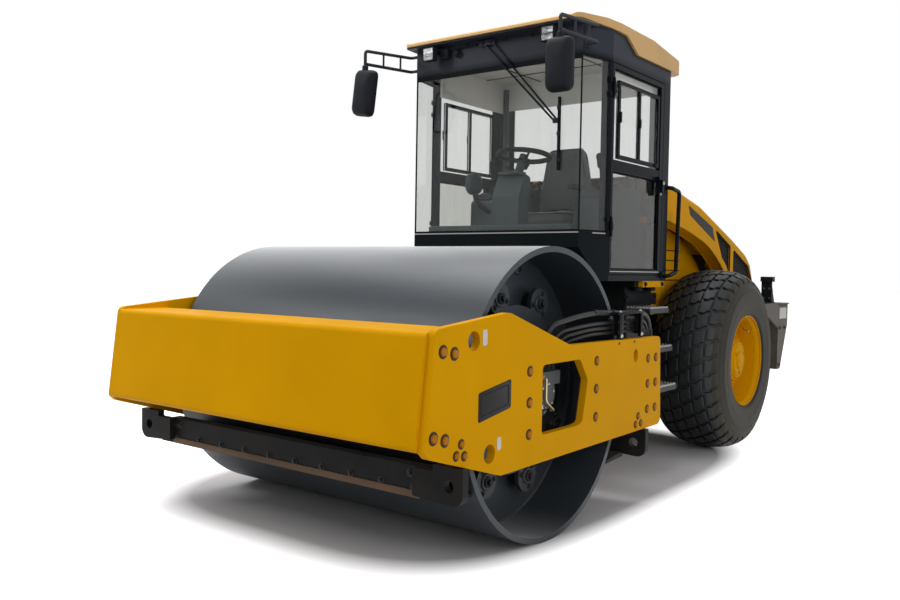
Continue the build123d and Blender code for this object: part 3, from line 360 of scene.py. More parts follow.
def makeDustFilm():  # dust that thickens towards the ground and on faces that look up
    group, given, give = newGroup(
        "dustFilm", dict(Color=(0.5, 0.5, 0.5, 1), Dust=(0.25, 0.2, 0.15, 1), Amount=0.3,
                         Top=1.2, Flat=0.2),
        dict(Color="Color", Mask="Float"))
    where = restPlace(group)
    low = spread(group, heightOf(group, where), 0.0, given("Top"), 1.0, 0.0)
    up = times(group, spread(group, heightOf(group, facingOf(group)), 0.3, 1.0), given("Flat"))
    cloud = spread(group, noiseAt(group, where, 5.0, 5.0, 0.65), 0.35, 0.7)
    total = times(group, plus(group, low, up), given("Amount"))
    mask = times(group, total, plus(group, times(group, cloud, 0.8), 0.35), clamp=True)
    give("Color", mixed(group, mask, given("Color"), given("Dust")))
    give("Mask", mask)
    return group


def makeEdgeWear():  # a mask along convex edges, broken up by noise
    group, given, give = newGroup(
        "edgeWear", dict(Width=0.004, Amount=0.6, Scale=30.0),
        dict(Mask="Float"))
    bevel = node(group, "ShaderNodeBevel", samples=3)
    link(group, given("Width"), bevel.inputs["Radius"])
    facing = node(group, "ShaderNodeVectorMath", operation="DOT_PRODUCT")
    link(group, bevel.outputs[0], facing.inputs[0])
    link(group, facingOf(group), facing.inputs[1])
    edge = spread(group, facing.outputs["Value"], 0.995, 0.93)
    chips = spread(group, noiseAt(group, restPlace(group), given("Scale"), 4.0, 0.7), 0.45, 0.6)
    mask = times(group, times(group, edge, chips), given("Amount"), True)
    give("Mask", mask)
    return group


def makeFineGrain():  # the height and speckle of a moulded, cast or sprayed surface
    group, given, give = newGroup(
        "fineGrain", dict(Scale=300.0, Lumps=0.3),
        dict(Height="Float", Speckle="Float"))
    where = restPlace(group)
    fine = noiseAt(group, where, given("Scale"), 2.0)
    broad = noiseAt(group, where, times(group, given("Scale"), 0.11), 3.0)
    height = plus(group, fine, times(group, broad, given("Lumps")))
    give("Height", height)
    give("Speckle", spread(group, fine, 0.55, 0.72))
    return group


def makeRunStreaks():  # fine marks drawn out along one direction
    group, given, give = newGroup(
        "runStreaks", dict(Stretch=(1.0, 40.0, 40.0), Scale=1.0),
        dict(Value="Float"))
    stretched = node(group, "ShaderNodeVectorMath", operation="MULTIPLY")
    link(group, restPlace(group), stretched.inputs[0])
    link(group, given("Stretch"), stretched.inputs[1])
    give("Value", noiseAt(group, stretched.outputs[0], given("Scale"), 4.0, 0.6))
    return group


toneDrift, dustFilm, edgeWear = makeToneDrift(), makeDustFilm(), makeEdgeWear()
fineGrain, runStreaks = makeFineGrain(), makeRunStreaks()


def useGroup(tree, group, **values):
    made = node(tree, "ShaderNodeGroup", node_tree=group)
    for key, value in values.items():
        feed(tree, made.inputs[key], value)
    return made


shaderSockets = dict(rough="Roughness", metal="Metallic", coat="Coat Weight", ior="IOR",
    coatRough="Coat Roughness", clear="Transmission Weight", specular="Specular IOR Level",
    sheen="Sheen Weight", brushing="Anisotropic")


def newMaterial(name, **fixed):
    material = bpy.data.materials.new(name)
    material.use_nodes = True
    tree = material.node_tree
    shader = tree.nodes["Principled BSDF"]
    for key, value in fixed.items():
        shader.inputs[shaderSockets[key]].default_value = value
    return material, tree, shader


def addBump(tree, shader, height, strength, distance):
    bump = node(tree, "ShaderNodeBump")
    bump.inputs["Strength"].default_value = strength
    bump.inputs["Distance"].default_value = distance
    link(tree, height, bump.inputs["Height"])
    link(tree, bump.outputs[0], shader.inputs["Normal"])


def dustOver(tree, shader, color, look, flat, rough, dulling):
    # lays the film of dust over a color, and roughens the surface under it
    dust = useGroup(tree, dustFilm, Color=color, Dust=look["dustColor"], Amount=look["dust"],
        Top=look["top"], Flat=flat)
    link(tree, dust.outputs["Color"], shader.inputs["Base Color"])
    dusty = times(tree, dust.outputs["Mask"], dulling)
    link(tree, plus(tree, rough, dusty, True), shader.inputs["Roughness"])


# materials
paintBase = dict(wear=0.3, rough=0.5, coat=0.0, specular=0.3, dust=0.05, top=1.0, drift=0.2,
                 peel=0.05, dustColor=(0.16, 0.125, 0.09))  # what most of the coats share
paintSettings = {
    "machineYellow": dict(color=(0.72, 0.345, 0.0008), worn=(0.3, 0.12, 0.01), rough=0.36,
        specular=0.015, dust=0.012, top=0.8, drift=0.05, peel=0.03),
    "frameBlack": dict(color=(0.0085, 0.0105, 0.0125), worn=(0.08, 0.07, 0.06), wear=0.35,
        rough=0.42, specular=0.05, dust=0.16, top=1.1),
    "cabBlack": dict(color=(0.005, 0.0085, 0.0115), worn=(0.04, 0.05, 0.055), wear=0.25,
        rough=0.26, specular=0.045, dust=0.03, top=1.6, drift=0.15, peel=0.03,
        # the cab's black turns lighter above these heights: a painted highlight on the header
        paler=(0.038, 0.043, 0.056), palerFrom=2.755, palerTo=2.8),
    "roofTan": dict(color=(0.66, 0.4, 0.14), worn=(0.75, 0.55, 0.3), wear=0.25, rough=0.45,
        coat=0.05, drift=0.06),
    "drumGrey": dict(color=(0.024, 0.034, 0.044), worn=(0.2, 0.22, 0.24), rough=0.4, dust=0.2,
        top=0.9, drift=0.15),
    "tailGrey": dict(color=(0.05, 0.044, 0.038), worn=(0.12, 0.1, 0.085), dust=0.45, top=2.2,
        peel=0.08),
    "lampHousing": dict(color=(0.017, 0.019, 0.023), worn=(0.04, 0.04, 0.04), wear=0.2,
        specular=0.06, dust=0.03, drift=0.1, peel=0.08),
    "grilleBlack": dict(color=(0.0085, 0.01, 0.011), worn=(0.03, 0.03, 0.03), wear=0.15,
        rough=0.55, specular=0.04, top=2.0, drift=0.1),
    "engineIron": dict(color=(0.07, 0.075, 0.08), worn=(0.15, 0.14, 0.13), rough=0.6, dust=0.4,
        top=2.0, peel=0.3),
    "motorIron": dict(color=(0.085, 0.095, 0.105), worn=(0.3, 0.28, 0.26), wear=0.4, specular=0.35,
        dust=0.2, top=1.4, drift=0.15, peel=0.25),
    "ringBrown": dict(color=(0.035, 0.015, 0.004), worn=(0.12, 0.06, 0.02), wear=0.2, specular=0.2,
        top=1.2, drift=0.1),
    "boltTan": dict(color=(0.46, 0.185, 0.012), worn=(0.55, 0.3, 0.06), rough=0.38, specular=0.06,
        top=1.2, drift=0.15),
    "bareWhite": dict(color=(0.62, 0.62, 0.58), worn=(0.4, 0.4, 0.38), wear=0.2, rough=0.45,
        dust=0.08, top=1.5, drift=0.05, peel=0.02),
    "plateDark": dict(color=(0.014, 0.013, 0.013), worn=(0.15, 0.13, 0.1), rough=0.35,
        specular=0.06, top=1.2, drift=0.1, peel=0.02),
    "bladeBrown": dict(color=(0.12, 0.075, 0.045), worn=(0.25, 0.18, 0.12), wear=0.5, rough=0.6,
        specular=0.2, dust=0.2, top=0.9, drift=0.25, peel=0.2),
    "boltDark": dict(color=(0.016, 0.018, 0.02), worn=(0.16, 0.15, 0.14), wear=0.5, rough=0.4,
        specular=0.12, dust=0.15),
}


def makePaint(name, look):
    material, tree, shader = newMaterial(name, coat=look["coat"], coatRough=0.12,
        specular=look["specular"])
    color = look["color"]
    if "paler" in look:  # a painted highlight: the colour turns lighter above a height, standing in for light caught on the cab's top
        upper = spread(tree, heightOf(tree, restPlace(tree)), look["palerFrom"], look["palerTo"])
        color = mixed(tree, upper, color, look["paler"])
    drift = useGroup(tree, toneDrift, Color=color, Amount=look["drift"], Scale=2.2)
    wear = useGroup(tree, edgeWear, Width=0.0035, Amount=look["wear"], Scale=24.0)
    chipped = mixed(tree, wear.outputs["Mask"], drift.outputs["Color"], look["worn"])
    grain = useGroup(tree, fineGrain, Scale=420.0, Lumps=0.5)
    rough = plus(tree, times(tree, grain.outputs["Speckle"], 0.06), look["rough"])
    dustOver(tree, shader, chipped, look, 0.5, rough, 0.45)
    addBump(tree, shader, grain.outputs["Height"], look["peel"] * 2.5, 0.0012)
    return material


materials = {name: makePaint(name, paintBase | look) for name, look in paintSettings.items()}

steelBase = dict(rough=0.34, stretch=(30.0, 30.0, 30.0), metal=0.0, specular=0.5, depth=0.05,
                 dust=0.05, top=1.0, dustColor=(0.17, 0.15, 0.13))  # what most bare metals share
steelSettings = {
    "drumSteel": dict(color=(0.026, 0.034, 0.043), other=(0.036, 0.046, 0.056),
        # skimmed: pale colour on the drum's upper faces seen at a low angle, a painted reflection
        stretch=(0.9, 60.0, 60.0), specular=0.28, depth=0.06, skimmed=(0.52, 0.53, 0.545)),
    "stepSteel": dict(color=(0.03, 0.032, 0.034), other=(0.055, 0.055, 0.055), rough=0.5,
        stretch=(2.0, 90.0, 2.0), specular=0.3, depth=0.15, dust=0.2),
    "wornSteel": dict(color=(0.3, 0.3, 0.29), other=(0.45, 0.44, 0.42), rough=0.42, metal=0.5,
        depth=0.1, dust=0.15),
    "rodChrome": dict(color=(0.62, 0.63, 0.65), other=(0.72, 0.73, 0.75), rough=0.08,
        stretch=(90.0, 2.0, 90.0), metal=1.0, depth=0.02),
    "boltZinc": dict(color=(0.45, 0.45, 0.44), other=(0.6, 0.58, 0.52), rough=0.32,
        stretch=(40.0, 40.0, 40.0), metal=0.9, dust=0.15),
    "brassFitting": dict(color=(0.5, 0.4, 0.22), other=(0.62, 0.52, 0.32), rough=0.3, metal=0.9,
        dust=0.1),
}


def makeSteel(name, look):
    material, tree, shader = newMaterial(name, metal=look["metal"], specular=look["specular"],
        brushing=0.4)
    streaks = useGroup(tree, runStreaks, Stretch=look["stretch"], Scale=6.0).outputs["Value"]
    tone = mixed(tree, spread(tree, streaks, 0.3, 0.7), look["color"], look["other"])
    if "skimmed" in look:  # a painted reflection: the colour pales on faces that look up and are seen at a low angle, standing in for the sky reflected there
        grazing = node(tree, "ShaderNodeLayerWeight")
        grazing.inputs["Blend"].default_value = 0.5
        pale = maths(tree, "POWER", spread(tree, grazing.outputs["Facing"], 0.45, 1.0), 1.5)
        pale = times(tree, pale, spread(tree, heightOf(tree, facingOf(tree)), -0.25, 0.35))
        tone = mixed(tree, pale, tone, look["skimmed"])
    rough = spread(tree, streaks, 0.25, 0.75, look["rough"] - 0.06, look["rough"] + 0.12)
    dustOver(tree, shader, tone, look, 0.15, rough, 0.4)
    addBump(tree, shader, streaks, look["depth"], 0.001)
    return material


materials |= {name: makeSteel(name, steelBase | look) for name, look in steelSettings.items()}

mouldedBase = dict(rough=0.45, grain=500, depth=0.3, specular=0.2, dust=0.0, top=1.0,
                   dustColor=(0.1, 0.1, 0.1))  # what most of the rubbers and plastics share
mouldedSettings = {
    "treadRubber": dict(color=(0.0095, 0.0115, 0.0135), speck=(0.02, 0.022, 0.024), grain=260,
        depth=0.35, specular=0.34, dust=0.1, top=0.5, dustColor=(0.085, 0.072, 0.055)),
    "tyreRubber": dict(color=(0.026, 0.024, 0.019), speck=(0.05, 0.045, 0.036), rough=0.62,
        grain=90, depth=0.25, specular=0.18, dust=0.45, top=1.5, dustColor=(0.115, 0.103, 0.082)),
    "hoseRubber": dict(color=(0.009, 0.01, 0.011), speck=(0.018, 0.018, 0.018), depth=0.2,
        specular=0.3, dust=0.08, top=1.4, dustColor=(0.12, 0.1, 0.08)),
    "mountRubber": dict(color=(0.01, 0.01, 0.01), speck=(0.02, 0.02, 0.02), rough=0.65,
        grain=350, depth=0.2, dust=0.2, top=1.2, dustColor=(0.12, 0.1, 0.08)),
    "trimGrey": dict(color=(0.03, 0.046, 0.048), speck=(0.042, 0.06, 0.062), rough=0.55,
        grain=600),
    "trimPale": dict(color=(0.66, 0.66, 0.62), speck=(0.74, 0.73, 0.69), rough=0.75),
    "trimBlack": dict(color=(0.007, 0.008, 0.009), speck=(0.013, 0.014, 0.015), rough=0.5,
        grain=700, specular=0.06),
    "sealRubber": dict(color=(0.005, 0.006, 0.007), speck=(0.01, 0.01, 0.011), rough=0.5,
        depth=0.1, specular=0.04, dust=0.02, top=2.2, dustColor=(0.1, 0.09, 0.08)),
}


def makeMoulded(name, look):
    material, tree, shader = newMaterial(name, specular=look["specular"])
    grain = useGroup(tree, fineGrain, Scale=float(look["grain"]), Lumps=0.6)
    tone = mixed(tree, grain.outputs["Speckle"], look["color"], look["speck"])
    dustOver(tree, shader, tone, look, 0.1, look["rough"], 0.2)
    addBump(tree, shader, grain.outputs["Height"], look["depth"], 0.0015)
    return material


materials |= {name: makeMoulded(name, mouldedBase | look) for name, look in mouldedSettings.items()}


def makeGlass(name, tint, rough, streakAmount):
    # clear glass that lets the lamps through, with a faint film of dust in runs
    material, tree, shader = newMaterial(name, clear=1.0, ior=1.3, specular=0.5)
    streaks = useGroup(tree, runStreaks, Stretch=(14.0, 14.0, 0.8), Scale=2.0).outputs["Value"]
    film = spread(tree, streaks, 0.45, 0.75)
    dulled = tuple(c * (1 - streakAmount) for c in tint)
    link(tree, mixed(tree, film, tint, dulled), shader.inputs["Base Color"])
    link(tree, spread(tree, film, 0, 1, rough, rough + 0.05), shader.inputs["Roughness"])
    path = node(tree, "ShaderNodeLightPath")
    passing = node(tree, "ShaderNodeBsdfTransparent")
    passing.inputs[0].default_value = (*tint, 1)
    blend = node(tree, "ShaderNodeMixShader")
    link(tree, path.outputs["Is Shadow Ray"], blend.inputs[0])
    link(tree, shader.outputs[0], blend.inputs[1])
    link(tree, passing.outputs[0], blend.inputs[2])
    link(tree, blend.outputs[0], tree.nodes["Material Output"].inputs["Surface"])
    return material


glassSettings = {  # tint, roughness and how much the film of dust dulls it
    "cabGlass": ((0.8, 0.81, 0.8), 0.005, 0.04), "dullGlass": ((0.58, 0.585, 0.55), 0.02, 0.12),
    "lampLens": ((0.92, 0.93, 0.92), 0.03, 0.05),
}
materials |= {name: makeGlass(name, *look) for name, look in glassSettings.items()}


def makeSimple(name, color, rough, metal, grainScale, depth):
    material, tree, shader = newMaterial(name, metal=metal, specular=0.5)
    grain = useGroup(tree, fineGrain, Scale=grainScale, Lumps=0.4)
    darker = tuple(c * 0.8 for c in color)
    link(tree, mixed(tree, grain.outputs["Speckle"], color, darker), shader.inputs["Base Color"])
    link(tree, spread(tree, grain.outputs["Height"], 0.3, 1.0, rough, rough + 0.08),
        shader.inputs["Roughness"])
    addBump(tree, shader, grain.outputs["Height"], depth, 0.0008)
    return material


simpleSettings = {  # color, roughness, metal, scale and depth of the grain
    "mirrorFace": ((0.86, 0.87, 0.88), 0.02, 1.0, 80.0, 0.01),
    "lampBowl": ((0.3, 0.31, 0.32), 0.25, 0.8, 90.0, 0.05),
    "redLens": ((0.45, 0.012, 0.01), 0.12, 0.0, 160.0, 0.2),
    "amberLens": ((0.7, 0.2, 0.01), 0.12, 0.0, 160.0, 0.2),
    "screenDark": ((0.01, 0.014, 0.018), 0.08, 0.0, 200.0, 0.02),
}
materials |= {name: makeSimple(name, *look) for name, look in simpleSettings.items()}


def makeSeatCloth():
    # woven cloth: two crossed rows of threads over the seat's own coordinates
    material, tree, shader = newMaterial("seatCloth", sheen=0.4)
    parts = node(tree, "ShaderNodeSeparateXYZ")
    link(tree, restPlace(tree), parts.inputs[0])
    threads = []
    for first, second, pitch in (("X", "Z", 900.0), ("Y", "Z", 900.0)):
        total = plus(tree, parts.outputs[first], parts.outputs[second])
        threads.append(maths(tree, "SINE", times(tree, total, pitch)))
    weave = spread(tree, times(tree, *threads), -1, 1)
    link(tree, mixed(tree, weave, (0.034, 0.044, 0.044), (0.07, 0.082, 0.082)),
        shader.inputs["Base Color"])
    link(tree, spread(tree, weave, 0, 1, 0.82, 0.95), shader.inputs["Roughness"])
    addBump(tree, shader, weave, 0.35, 0.0008)
    return material


materials["seatCloth"] = makeSeatCloth()

dullBelow = 2.06
slotMaterials = {"engine_grey": "engineIron"}  # every other slot has its finish's own name


def finishOf(slot):
    first, *rest = slot.split("_")
    return slotMaterials.get(slot, first + "".join(word.title() for word in rest))


for subpart in record["subparts"]:
    mesh = frame["nodes"][subpart["node"]].data
    mesh.materials.clear()
    mesh.materials.append(materials[finishOf(subpart["material_slot"])])
for paneNode in ("door_glass_left", "door_glass_right"):  # the low panes are the duller ones
    mesh = frame["nodes"][paneNode].data
    mesh.materials.append(materials["dullGlass"])
    for face in mesh.polygons:
        if face.center.z < dullBelow:
            face.material_index = 1
print("materials:", len(materials))


# tyres and wheels
tyreSettings = Settings(
    # half profile of the carcass and of the tread's top: (radius, distance from the middle)
    carcass=((0.3575, 0.25), (0.36, 0.262), (0.37, 0.27), (0.382, 0.273), (0.39, 0.28),
             (0.44, 0.2855), (0.49, 0.288), (0.535, 0.2875), (0.57, 0.281), (0.602, 0.264),
             (0.629, 0.242), (0.652, 0.212), (0.671, 0.172), (0.685, 0.122), (0.6925, 0.062),
             (0.6945, 0.0)),
    tread=((0.711, 0.0), (0.7092, 0.06), (0.702, 0.12), (0.688, 0.172), (0.6685, 0.213),
           (0.644, 0.245), (0.615, 0.268), (0.585, 0.284)),
    around=144, rows=6, pitches=34, depthUnder=0.008, chamfer=0.0035, halfTread=0.268,
    sideFrom=0.2, sideTo=0.655,
    # a block's two ends at stations across it, as shares of the pitch and of the row's width
    stations=((-0.425, -0.36, 0.4), (-0.2, -0.36, 0.4), (-0.04, -0.35, 0.38), (0.08, -0.47, 0.26),
              (0.24, -0.55, 0.19), (0.425, -0.55, 0.19)),
    slant=0.1,
    # radius, distance from the middle, thickness
    ribs=((0.386, 0.2765, 0.006), (0.468, 0.2868, 0.003), (0.545, 0.2868, 0.0025)),
)


def profileAt(rows, v):  # the radius at a distance from the middle
    ordered = sorted((abs(b), a) for a, b in rows)
    for (v0, r0), (v1, r1) in zip(ordered, ordered[1:]):
        if abs(v) <= v1:
            return r0 + (r1 - r0) * (abs(v) - v0) / (v1 - v0)
    return ordered[-1][1]


def makeTyre(side, sign, s):
    bm = bmesh.new()
    centre = Vector((wheelCentre.x * sign, wheelCentre.y, wheelCentre.z))

    def at(angle, v, radius):
        return centre + Vector((v, math.cos(angle) * radius, math.sin(angle) * radius))

    profile = [*s.carcass, *((r, -v) for r, v in reversed(s.carcass[:-1]))]
    bridge(bm, [[bm.verts.new(at(2 * math.pi * i / s.around, v, r)) for r, v in profile]
        for i in range(s.around)], True)
    pitch = 2 * math.pi / s.pitches
    width = 2 * s.halfTread / s.rows
    under = s.carcass[7:]
    crown = s.tread[0][0]
    inset = s.chamfer / (crown * pitch)
    first, *between, last = s.stations
    edgeShare = s.chamfer / width
    stations = [first, (first[0] + edgeShare, *first[1:]), *between,
        (last[0] - edgeShare, *last[1:]), last]
    ends = len(stations) - 1
    # the border of a block's grid of points, in order
    edge = [*((0, j) for j in range(5)), *((k, 4) for k in range(1, ends + 1)),
        *((ends, j) for j in range(3, -1, -1)), *((k, 0) for k in range(ends - 1, 0, -1))]
    for row in range(s.rows):
        middleV = -s.halfTread + width * (row + 0.5)
        for i in range(s.pitches):
            angle = pitch * (i + 0.5 * (row % 2) + s.slant * row)
            grid = []
            for k, (v, back, front) in enumerate(stations):
                line = []
                middle = (back + front) / 2
                for j, u in enumerate((back, back + inset, middle, front - inset, front)):
                    place = middleV + v * width
                    border = k in (0, ends) or j in (0, 4)
                    radius = profileAt(s.tread, place) - (s.chamfer * 0.8 if border else 0)
                    line.append((angle + u * pitch, place, radius))
                grid.append(line)
            verts = [[bm.verts.new(at(*p)) for p in line] for line in grid]
            for low, high in zip(verts, verts[1:]):
                for a, b, c, d in zip(low, low[1:], high[1:], high):
                    bm.faces.new((a, b, c, d))
            top = [verts[k][j] for k, j in edge]
            foot = []
            for k, j in edge:
                a, v, r = grid[k][j]
                foot.append(bm.verts.new(at(a, v, min(r, profileAt(under, v)) - s.depthUnder)))
            for a, b, c, d in zip(top, top[1:] + top[:1], foot[1:] + foot[:1], foot):
                bm.faces.new((a, b, c, d))
            bm.faces.new(foot)

    # ribs that guard the rim and line the sidewall
    for radius, v, thick in s.ribs:
        for way in (-1, 1):
            rows = [(radius - thick * 1.6, v * way), (radius, v * way + thick * way * 0.6),
                (radius + thick * 1.6, v * way), (radius, v * way - thick * way)]
            turned(bm, centre, (1, 0, 0), rows, s.around // 2, hollow=True)
    for face in bm.faces:  # the sidewall holds more dust than the blocks
        middleOf = face.calc_center_median() - centre
        if abs(middleOf.x) > s.sideFrom and middleOf.yz.length < s.sideTo:
            face.material_index = 1
    piece = makePiece(f"tyre_tread_{side}", bm, ("treadRubber", "tyreRubber"), f"wheel_{side}",
        "tyre_rubber", sharp=32)
    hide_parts(f"tyre_{side}")


wheelSettings = Settings(
    studs=20, studCircle=0.1585, studSize=0.015, capBolts=3, capCircle=0.098, flangeBolts=12,
    flangeCircle=0.288, hubReach=0.205, ledgeReach=0.187, discReach=0.088, bossCircle=0.225,
    bosses=6, valveRadius=0.316, valveReach=0.17, valveTurn=0.9,
    cap=((0.126, -0.001), (0.126, 0.004), (0.12, 0.007), (0.072, 0.008), (0.068, 0.016),
         (0.06, 0.019), (0.014, 0.019)),
    capBolt=((0.013, 0), (0.013, 0.007), (0.01, 0.009), (0.009, 0.004)),
    rings=((0.353, 0.269), (0.343, 0.246)),
    valveTip=((0.006, -0.012), (0.0065, -0.002), (0.0055, 0.004), (0.003, 0.005)),
)


def makeWheelParts(side, sign, s):
    put = onSide(sign)
    out = Vector((sign, 0, 0))

    def onAxle(reach):  # a place on the wheel's axis, outwards from its middle
        return put((wheelCentre.x + reach, wheelCentre.y, wheelCentre.z))

    bm = bmesh.new()
    for p in spotsRound(onAxle(s.ledgeReach), s.studs, s.studCircle):
        boltHead(bm, p, out, s.studSize)
    for p in spotsRound(onAxle(s.discReach), s.flangeBolts, s.flangeCircle, 0.13):
        boltHead(bm, p, out, 0.026)
    makePiece(f"wheel_bolts_{side}", bm, "machineYellow", f"wheel_{side}", "machine_yellow")

    bm = bmesh.new()
    turned(bm, onAxle(s.hubReach), out, s.cap, 56)
    for p in spotsRound(onAxle(s.hubReach + 0.007), s.capBolts, s.capCircle, 0.5):
        turned(bm, p, out, s.capBolt, 6)
    for radius, x in s.rings:  # raised where the rim's flange turns out
        rows = [(radius - 0.006, x - 0.004), (radius, x + 0.0015), (radius + 0.005, x - 0.004),
            (radius, x - 0.009)]
        turned(bm, onAxle(0), out, rows, 96, True)
    # raised edges round the hand holes of the disc
    edge = roundedBox(-0.051, 0.051, -0.031, 0.031, 0.03, 6)
    for c, d in circle(s.bosses, math.pi / s.bosses):
        radial, along = Vector((0, c, d)), Vector((0, -d, c))
        band(bm, edge, 0.0085, 0.006, lambda u, v, w: onAxle(s.discReach + w - 0.0005)
             + radial * (s.bossCircle + v) + along * u)
    makePiece(f"hub_cap_{side}", bm, "machineYellow", f"wheel_{side}", "machine_yellow")

    bm = bmesh.new()
    way = Vector((0, math.cos(s.valveTurn), math.sin(s.valveTurn)))
    line = eased([onAxle(s.valveReach + x) + way * (s.valveRadius + v)
        for x, v in ((0, 0.014), (0, -0.02), (0.045, -0.035))], 0.015)
    tube(bm, line, 0.0045)
    turned(bm, line[-1], (line[-1] - line[-2]).normalized(), s.valveTip, 12)
    makePiece(f"valve_stem_{side}", bm, "brassFitting", f"wheel_{side}")


for side, sign in bothSides:
    makeTyre(side, sign, tyreSettings)
    makeWheelParts(side, sign, wheelSettings)
print("wheels ready")


# front frame
plateBoltSettings = Settings(
    # (y from the drum axis, z, ring radius) of the bolts in a side plate
    places=((-1.039, 1.056, 0.03), (-0.961, 1.043, 0.03), (-1.095, 0.703, 0.03),
            (-1.018, 0.684, 0.03), (-0.903, 0.652, 0.023), (-0.938, 0.606, 0.023),
            (-0.88, 0.597, 0.023), (-0.365, 0.919, 0.027), (-0.365, 0.769, 0.027),
            (-0.365, 0.617, 0.027), (0.301, 0.919, 0.027), (0.301, 0.769, 0.027),
            (0.301, 0.617, 0.027), (0.945, 0.886, 0.027), (0.945, 0.735, 0.027),
            (0.945, 0.583, 0.027), (1.052, 0.886, 0.027), (1.052, 0.735, 0.027),
            (1.052, 0.583, 0.027), (0.826, 0.556, 0.023), (0.794, 0.51, 0.023),
            (0.864, 0.51, 0.023)),
    headRise=0.013, smallHoles=((0.56, 0.996), (0.752, 0.996)),
    # a ring's section as shares of its radius, with heights in metres
    ring=((1, -0.0004), (1, 0.0012), (0.94, 0.0022), (0.78, 0.0022), (0.66, 0.001)),
    hole=((0.0085, -0.0004), (0.0085, 0.0014), (0.0045, 0.0014), (0.0045, 0.0006)),
)


def makePlateBolts(side, sign, s):
    out = Vector((sign, 0, 0))
    face = plateHigh.x * sign
    rings, heads = bmesh.new(), bmesh.new()
    for y, z, radius in s.places:
        centre = fromDrum(face, y, z)
        turned(rings, centre, out, [(radius * r, h) for r, h in s.ring], 32)
        roundHead(heads, centre, out, radius * 0.62, s.headRise)
    # the small holes are drawn as dark discs: painted shade where the plate would be open
    for y, z in s.smallHoles:
        turned(rings, fromDrum(face, y, z), out, s.hole, 20)
    makePiece(f"plate_bolt_rings_{side}", rings, "ringBrown", "front_frame")
    makePiece(f"plate_bolts_{side}", heads, "boltTan", "front_frame")


blankPlateSettings = Settings(
    # bare plates: (name, y from the drum axis, z, half length, half height, lean, material)
    rows=(("front_upper", -0.742, 1.1, 0.017, 0.036, 0.0, "bareWhite"),
          ("front_lower", -0.618, 0.612, 0.016, 0.03, 0.0, "bareWhite"),
          ("middle", -0.655, 0.812, 0.128, 0.066, 0.16, "plateDark")),
    thick=0.0016, rivet=0.0035, rivetIn=0.01, borderIn=0.018,
)


def makeBlankPlates(side, sign, s):
    face = plateHigh.x
    for name, y, z, halfLong, halfHigh, lean, look in s.rows:
        bm = bmesh.new()

        def put(u, v, w):
            return fromDrum((face + 0.0003 + w) * sign, y + u, z + v + u * lean)

        plate = roundedBox(-halfLong, halfLong, -halfHigh, halfHigh, 0.012)
        slab(bm, plate, s.thick, put, 0.0006)
        u, v = halfLong - s.rivetIn, halfHigh - s.rivetIn
        for corner in ((-u, -v), (-u, v), (u, -v), (u, v)):
            roundHead(bm, put(*corner, s.thick), (sign, 0, 0), s.rivet, 0.0018)
        if look == "plateDark":  # a raised border round the larger plate
            u, v = halfLong - s.borderIn, halfHigh - s.borderIn
            band(bm, roundedBox(-u, u, -v, v, 0.01), 0.004,
                0.0012, lambda u, v, w: put(u, v, w + s.thick))
        makePiece(f"blank_plate_{name}_{side}", bm, look, "front_frame")


beamSettings = Settings(bead=0.0048, wobble=0.0012, uprightZ=(0.672, 1.118), upright=70,
    levelY=(-1.075, -0.8), levelZ=1.1395, level=49)


def beamFace(z):  # how far forward the beam's face is at a height, from its box
    share = (z - beamLow.z) / (beamHigh.z - beamLow.z)
    return beamLow.y + 0.004 + share * 0.06


def makeBeamTrim(s):
    # weld beads between the beam's ends and the side plates
    bm = bmesh.new()
    (z0, z1), (y0, y1) = s.uprightZ, s.levelY
    for sign in (-1, 1):
        x = (plateLow.x - 0.0025) * sign
        upright, level = [], []
        for i in range(s.upright + 1):
            z = z0 + (z1 - z0) * i / s.upright
            wobble = s.wobble * noise.noise(Vector((i * 1.7, sign * 4.0, 0)))
            upright.append(Vector((x, beamFace(z) + 0.0035 + wobble, z)))
        for i in range(s.level + 1):
            wobble = s.wobble * noise.noise(Vector((i * 1.9, sign * 7.0, 3)))
            level.append(fromDrum(x, y0 + (y1 - y0) * i / s.level, s.levelZ + wobble))
        for line in (upright, level):
            tube(bm, line, s.bead, 8)
    makePiece("beam_welds", bm, "machineYellow", "front_frame", "machine_yellow")


scraperSettings = Settings(boltPitch=0.19, bolt=0.022, stripThick=0.006, clamps=(0.02, 0.07))


def makeScraperParts(s):
    for node, sign in (("front_scraper", -1), ("rear_scraper", 1)):
        low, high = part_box(node)
        far = low.y if sign < 0 else high.y
        barLow = high.z - 0.123
        half = plateLow.x - 0.19
        bm = bmesh.new()
        count = int(2 * half / s.boltPitch)
        for i in range(count + 1):
            x = -half + 0.05 + (2 * half - 0.1) * i / count
            boltHead(bm, (x, far, barLow + 0.022), (0, sign, 0), s.bolt)
        for side in (-1, 1):
            for inset in s.clamps:
                boltHead(bm, (side * (half - inset), far, barLow + 0.085), (0, sign, 0), s.bolt)
        makePiece(f"{node}_bolts", bm, "boltDark", "front_frame")
        bm = bmesh.new()

        def put(u, v, w):
            return Vector((u, far + w * sign, barLow + v))

        strip = roundedBox(-half + 0.01, half - 0.01, -0.022, 0.01, 0.004)
        slab(bm, strip, s.stripThick, put, 0.001)
        makePiece(f"{node}_strip", bm, "bladeBrown", "front_frame")


drumDetailSettings = Settings(
    bead=0.008, mountCircle=0.51, mountStart=math.radians(17), mounts=8, mountBolts=(3, 0.064),
    cap=((0.046, -0.0005), (0.046, 0.006), (0.042, 0.009), (0.02, 0.009), (0.018, 0.012)),
    hubBolts=(16, 0.185), plugs=(6, 0.655, 0.3),
    plug=((0.03, -0.0005), (0.03, 0.006), (0.024, 0.01), (0.014, 0.01), (0.014, 0.004)),
)


